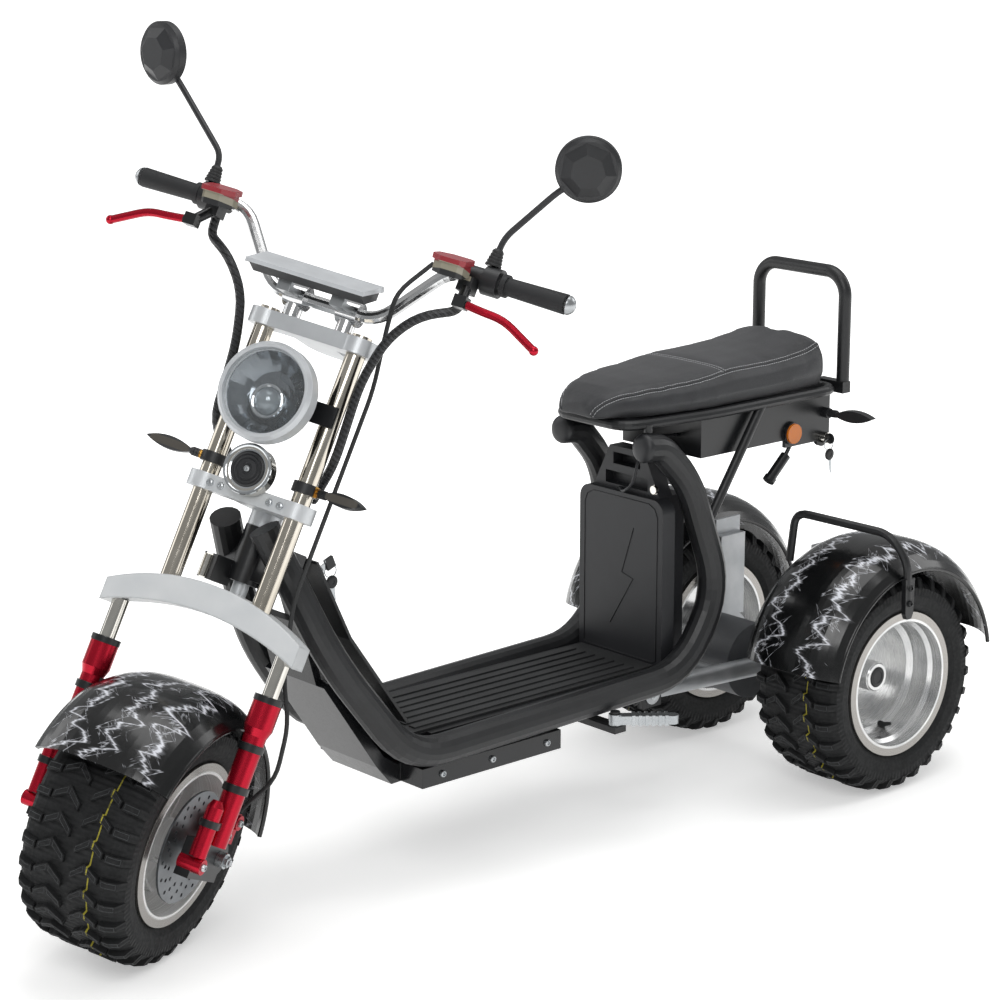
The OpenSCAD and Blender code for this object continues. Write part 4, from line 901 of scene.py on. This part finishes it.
class SCOOTER_OT_tread(bpy.types.Operator):
    """Raise the moulded outlines on the lugs of the tyres"""
    bl_idname = "scooter.tread"
    bl_label = "Tread"

    def execute(self, context):
        half = context.scene.scooter_look.lug_line
        pitch = 2 * math.pi / LUG_ROWS
        right = CHASSIS @ Matrix.Translation((-HALF_TRACK, 0, 0))
        for body, hub, way in (("front_wheel", STEERED, 1), ("rear_wheel_left", WHEELS["rear_wheel_left"], 1),
                               ("rear_wheel_right", right, -1)):
            loops = []
            for side in BOTH:
                for turn, loop in LUG_LINES:
                    spin = Matrix.Rotation(math.radians(turn) + side * pitch / 4, 4, "X")
                    points = [spin @ Vector((way * side * across, along, -out)) * MM for out, along, across in loop]
                    # The outlines take the lighter rubber, a painted highlight along the lug edges
                    loops.append(strand("lug_line", points, half, "lug_highlight_rubber", 0, True))
            pattern = joined(loops, "lug_lines")
            edit_all()
            close_edit()
            places = [hub @ Matrix.Rotation(i * pitch, 4, "X") for i in range(LUG_ROWS)]
            repeated(pattern, "tread_lines_" + body, places, "lug_highlight_rubber", body)
            bpy.data.objects.remove(pattern)
        return {"FINISHED"}


class SCOOTER_OT_keys(bpy.types.Operator):
    """Hang the keys on their rings at the ignition and at the tail lock"""
    bl_idname = "scooter.keys"
    bl_label = "Keys"

    def execute(self, context):
        head = turned("key_head", [(9.4, -2.4), (11.4, -1.4), (11.4, 1.4), (9.4, 2.4), (4.2, 2.4), (4.0, 1.6)], 24)
        blade = turned("key_blade", [(4.6, 9), (4.4, 14), (4.0, 22), (3.4, 32), (1.4, 38)], 4)
        only(blade)
        edit_all()
        bpy.ops.transform.resize(value=(1, 0.28, 1), center_override=(0, 0, 0))
        begin()
        bpy.ops.mesh.primitive_torus_add(major_radius=0.011, minor_radius=0.0009, major_segments=40,
                                         minor_segments=8)
        ring = bpy.context.object
        bpy.ops.object.mode_set(mode="EDIT")
        bpy.ops.transform.resize(value=(1, 1.12, 1), center_override=(0, 0, 0))
        bpy.ops.object.mode_set(mode="OBJECT")
        for where, spot in (("tail", (121, 15, 430)), ("ignition", (30, -1136, 370))):
            hung = CHASSIS @ Matrix.Translation(Vector(spot) * MM)
            below = hung @ rotated(8, "X") @ Matrix.Translation((0, 0, -0.020))
            for pattern, part, place, material in (
                    (ring, "ring", hung @ rotated(90, "Y"), "zinc_plate"),
                    (head, "head", below @ rotated(90, "Y"), "black_oxide"),
                    (blade, "blade", below @ rotated(180, "X") @ rotated(90, "Z"), "zinc_plate")):
                repeated(pattern, f"{where}_key_{part}", [place], material, "frame")
        bow = turned("lock_key_bow", [(8.6, -2.2), (10.4, -1.2), (10.4, 1.2), (8.6, 2.2)], 24)
        repeated(bow, "tail_lock_key", [facing(CHASSIS, (124, 15, 442), (0, 1, 0))], "black_oxide", "frame")
        for pattern in (head, blade, ring, bow):
            bpy.data.objects.remove(pattern)
        return {"FINISHED"}


# Lines on the battery's front plate: half width, and points across and up, in millimetres
BATTERY_FACE = -424.3
BATTERY_LINES = {
    "battery_zigzag": (1.1, [(34, 322), (4, 232), (34, 224), (-26, 128)]),
    "battery_panel_line": (0.9, [(-97, 78), (-97, 352), (-90, 368), (-74, 376), (74, 376), (90, 368), (97, 352),
                                 (97, 78), (88, 74), (-88, 74), (-97, 78)]),
}


class SCOOTER_OT_battery_lines(bpy.types.Operator):
    """Lay the zigzag bead and the panel line on the battery's front plate"""
    bl_idname = "scooter.battery_lines"
    bl_label = "Battery lines"

    def execute(self, context):
        for name, (half, path) in BATTERY_LINES.items():
            points = [CHASSIS @ (Vector((x, BATTERY_FACE, z)) * MM) for x, z in path]
            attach(strand(name, points, half * MM, "black_oxide"), "frame")
        return {"FINISHED"}


class SCOOTER_OT_stage(bpy.types.Operator):
    """Build the pale floor, the studio lights and the camera"""
    bl_idname = "scooter.stage"
    bl_label = "Stage"

    def execute(self, context):
        look = context.scene.scooter_look
        scene = context.scene
        scene.view_settings.view_transform = "Standard"
        camera = bpy.data.objects.new("camera", bpy.data.cameras.new("camera"))
        scene.collection.objects.link(camera)
        camera.data.sensor_width = 36.0
        camera.data.lens = look.lens
        camera.data.clip_end = 60.0
        camera.location = look.camera_at
        yaw, pitch = look.camera_yaw, look.camera_pitch
        ahead = Vector((-math.sin(yaw) * math.cos(pitch), math.cos(yaw) * math.cos(pitch), -math.sin(pitch)))
        camera.rotation_euler = ahead.to_track_quat("-Z", "Y").to_euler()
        scene.camera = camera
        bpy.ops.object.select_all(action="DESELECT")
        bpy.ops.mesh.primitive_grid_add(x_subdivisions=8, y_subdivisions=8, size=40.0,
                                        location=(0, 0, -0.0005))
        floor = context.object
        floor.name = "floor"
        # Seamless paper: white to the camera and to glossy surfaces, and still shaded under the wheels
        tree, shader, place = blank("seamless_paper")
        ray = add(tree, "ShaderNodeLightPath").node.outputs
        seen = add(tree, MATH, (ray["Is Camera Ray"], ray["Is Glossy Ray"]), operation="ADD", use_clamp=True)
        away = add(tree, VECTOR, (place,), "Value", operation="LENGTH")
        own = add(tree, RANGE, (away, 1.0, 2.6, look.floor_lift, 1.0))
        feed(shader, {
            "Base Color": srgb("#f4f4f3"),
            "Roughness": 0.9,
            "Specular IOR Level": 0.0,
            "Emission Color": (1, 1, 1, 1),
            "Emission Strength": add(tree, MATH, (seen, own), operation="MULTIPLY"),
        })
        clothe(floor, "seamless_paper")
        world = bpy.data.worlds.new("studio")
        scene.world = world
        world.use_nodes = True
        tree = world.node_tree
        tree.nodes.clear()
        up = add(tree, SPLIT, (add(tree, "ShaderNodeTexCoord", out="Generated"),), "Z")
        height = add(tree, RANGE, (up, -0.1, 0.9))
        sky = add(tree, MIX, {"Factor": height, "A": srgb("#cfd2d4"), "B": srgb("#ffffff")}, **TINT)
        # The camera sees the room as white as the paper
        seen = add(tree, "ShaderNodeLightPath", out="Is Camera Ray")
        strength = add(tree, RANGE, (seen, 0.0, 1.0, look.world_light, ROOM_WHITE))
        light = add(tree, "ShaderNodeBackground", {"Color": sky, "Strength": strength})
        add(tree, "ShaderNodeOutputWorld", {"Surface": light})
        for name, spot, size, power in (("key", (3.2, -3.4, 4.2), 2.6, look.key_light),
                                        ("fill", (-4.0, -2.2, 3.0), 3.0, look.fill_light),
                                        ("top", (0.2, 0.6, 5.0), 3.6, look.top_light),
                                        ("back", (1.5, 4.5, 3.2), 2.4, look.back_light)):
            lamp = bpy.data.objects.new(name, bpy.data.lights.new(name, "AREA"))
            scene.collection.objects.link(lamp)
            lamp.data.size = size
            lamp.data.energy = power
            lamp.location = spot
            lamp.rotation_euler = (Vector((0, 0, 0.6)) - Vector(spot)).to_track_quat("-Z", "Y").to_euler()
        return {"FINISHED"}


class SCOOTER_OT_finishes(bpy.types.Operator):
    """Give every solid of the scooter its material"""
    bl_idname = "scooter.finishes"
    bl_label = "Finishes"

    def execute(self, context):
        make_finishes(context.scene.scooter_look)
        for material, nodes in CAD_FINISH.items():
            for node in nodes.split():
                clothe(NODES[node], material)
        for wheel in WHEELS:
            end, side = wheel.split("_wheel")
            clothe(NODES[f"{end}_tyre{side}"], "tyre_rubber_" + wheel)
            clothe(NODES[f"{end}_rim{side}"], "turned_aluminium_" + wheel)
        # A material that is named for a solid is its own
        for name in MADE:
            if name in NODES:
                clothe(NODES[name], name)
        return {"FINISHED"}


COLOUR = {"size": 4, "min": 0.0, "max": 1.0, "subtype": "COLOR"}


class ScooterLook(bpy.types.PropertyGroup):
    """Colours, camera, seat and lights"""
    frame_colour: FloatVectorProperty(
        name="Frame", description="Paint of the frame's tubes and panels", default=srgb("#1b1c1e"), **COLOUR)
    accent_colour: FloatVectorProperty(
        name="Accent", description="Anodising of the fork's lower legs and the levers", default=srgb("#c3142f"),
        **COLOUR)
    seat_colour: FloatVectorProperty(
        name="Seat", description="Vinyl of the seat cover", default=srgb("#313235"), **COLOUR)
    flash_colour: FloatVectorProperty(
        name="Flashes", description="Print on the fenders", default=srgb("#d9dbe2"), **COLOUR)
    lens: FloatProperty(
        name="Lens", description="Focal length of the camera", default=100.486, unit="CAMERA")
    camera_at: FloatVectorProperty(
        name="Camera place", description="Place of the camera", size=3, default=(3.6208, -3.1957, 1.8449),
        subtype="TRANSLATION", unit="LENGTH")
    camera_yaw: FloatProperty(
        name="Camera turn", description="Turn of the view to the left, from straight along the trike",
        default=math.radians(48.352), subtype="ANGLE")
    camera_pitch: FloatProperty(
        name="Camera tilt", description="Tilt of the view down", default=math.radians(14.021), subtype="ANGLE")
    seat_voxel: FloatProperty(
        name="Seat mesh", description="Size of the seat cover's mesh", default=0.005, unit="LENGTH")
    seat_pressure: FloatProperty(
        name="Seat pressure", description="Push of the foam on the seat cover", default=4.0)
    seat_swell: FloatProperty(
        name="Seat swell", description="Most that the seat cover may swell", default=0.006, unit="LENGTH")
    seam_depth: FloatProperty(
        name="Seam depth", description="Depth of the pull at the seat's seams", default=0.0022, unit="LENGTH")
    lug_line: FloatProperty(
        name="Lug line", description="Half width of the outlines on the tyre's lugs", default=0.0009, unit="LENGTH")
    floor_lift: FloatProperty(
        name="Floor lift", description="Own light of the paper for the camera", default=0.40)
    world_light: FloatProperty(
        name="Room light", description="Strength of the light all round", default=0.45)
    key_light: FloatProperty(
        name="Key", description="Power of the main lamp", default=100.0, unit="POWER")
    fill_light: FloatProperty(
        name="Fill", description="Power of the fill lamp", default=45.0, unit="POWER")
    top_light: FloatProperty(
        name="Top", description="Power of the lamp overhead", default=95.0, unit="POWER")
    back_light: FloatProperty(
        name="Back", description="Power of the lamp behind", default=40.0, unit="POWER")


class SCOOTER_PT_panel(bpy.types.Panel):
    """Steps of the dressing, in order"""
    bl_idname = "SCOOTER_PT_panel"
    bl_label = "Scooter"
    bl_space_type = "VIEW_3D"
    bl_region_type = "UI"
    bl_category = "Scooter"

    def draw(self, context):
        for operator in OPERATORS:
            self.layout.operator(operator.bl_idname)
        for name in ScooterLook.__annotations__:
            self.layout.prop(context.scene.scooter_look, name)


OPERATORS = (SCOOTER_OT_stage, SCOOTER_OT_finishes, SCOOTER_OT_seat, SCOOTER_OT_lamp, SCOOTER_OT_mirrors,
             SCOOTER_OT_fasteners, SCOOTER_OT_tread, SCOOTER_OT_keys, SCOOTER_OT_battery_lines)
CLASSES = (ScooterLook,) + OPERATORS + (SCOOTER_PT_panel,)


def register():
    for cls in CLASSES:
        bpy.utils.register_class(cls)
    bpy.types.Scene.scooter_look = PointerProperty(type=ScooterLook)


def unregister():
    del bpy.types.Scene.scooter_look
    for cls in reversed(CLASSES):
        bpy.utils.unregister_class(cls)


def main():
    register()
    for operator in OPERATORS:
        group, name = operator.bl_idname.split(".")
        getattr(getattr(bpy.ops, group), name)()


if __name__ == "__main__":
    main()
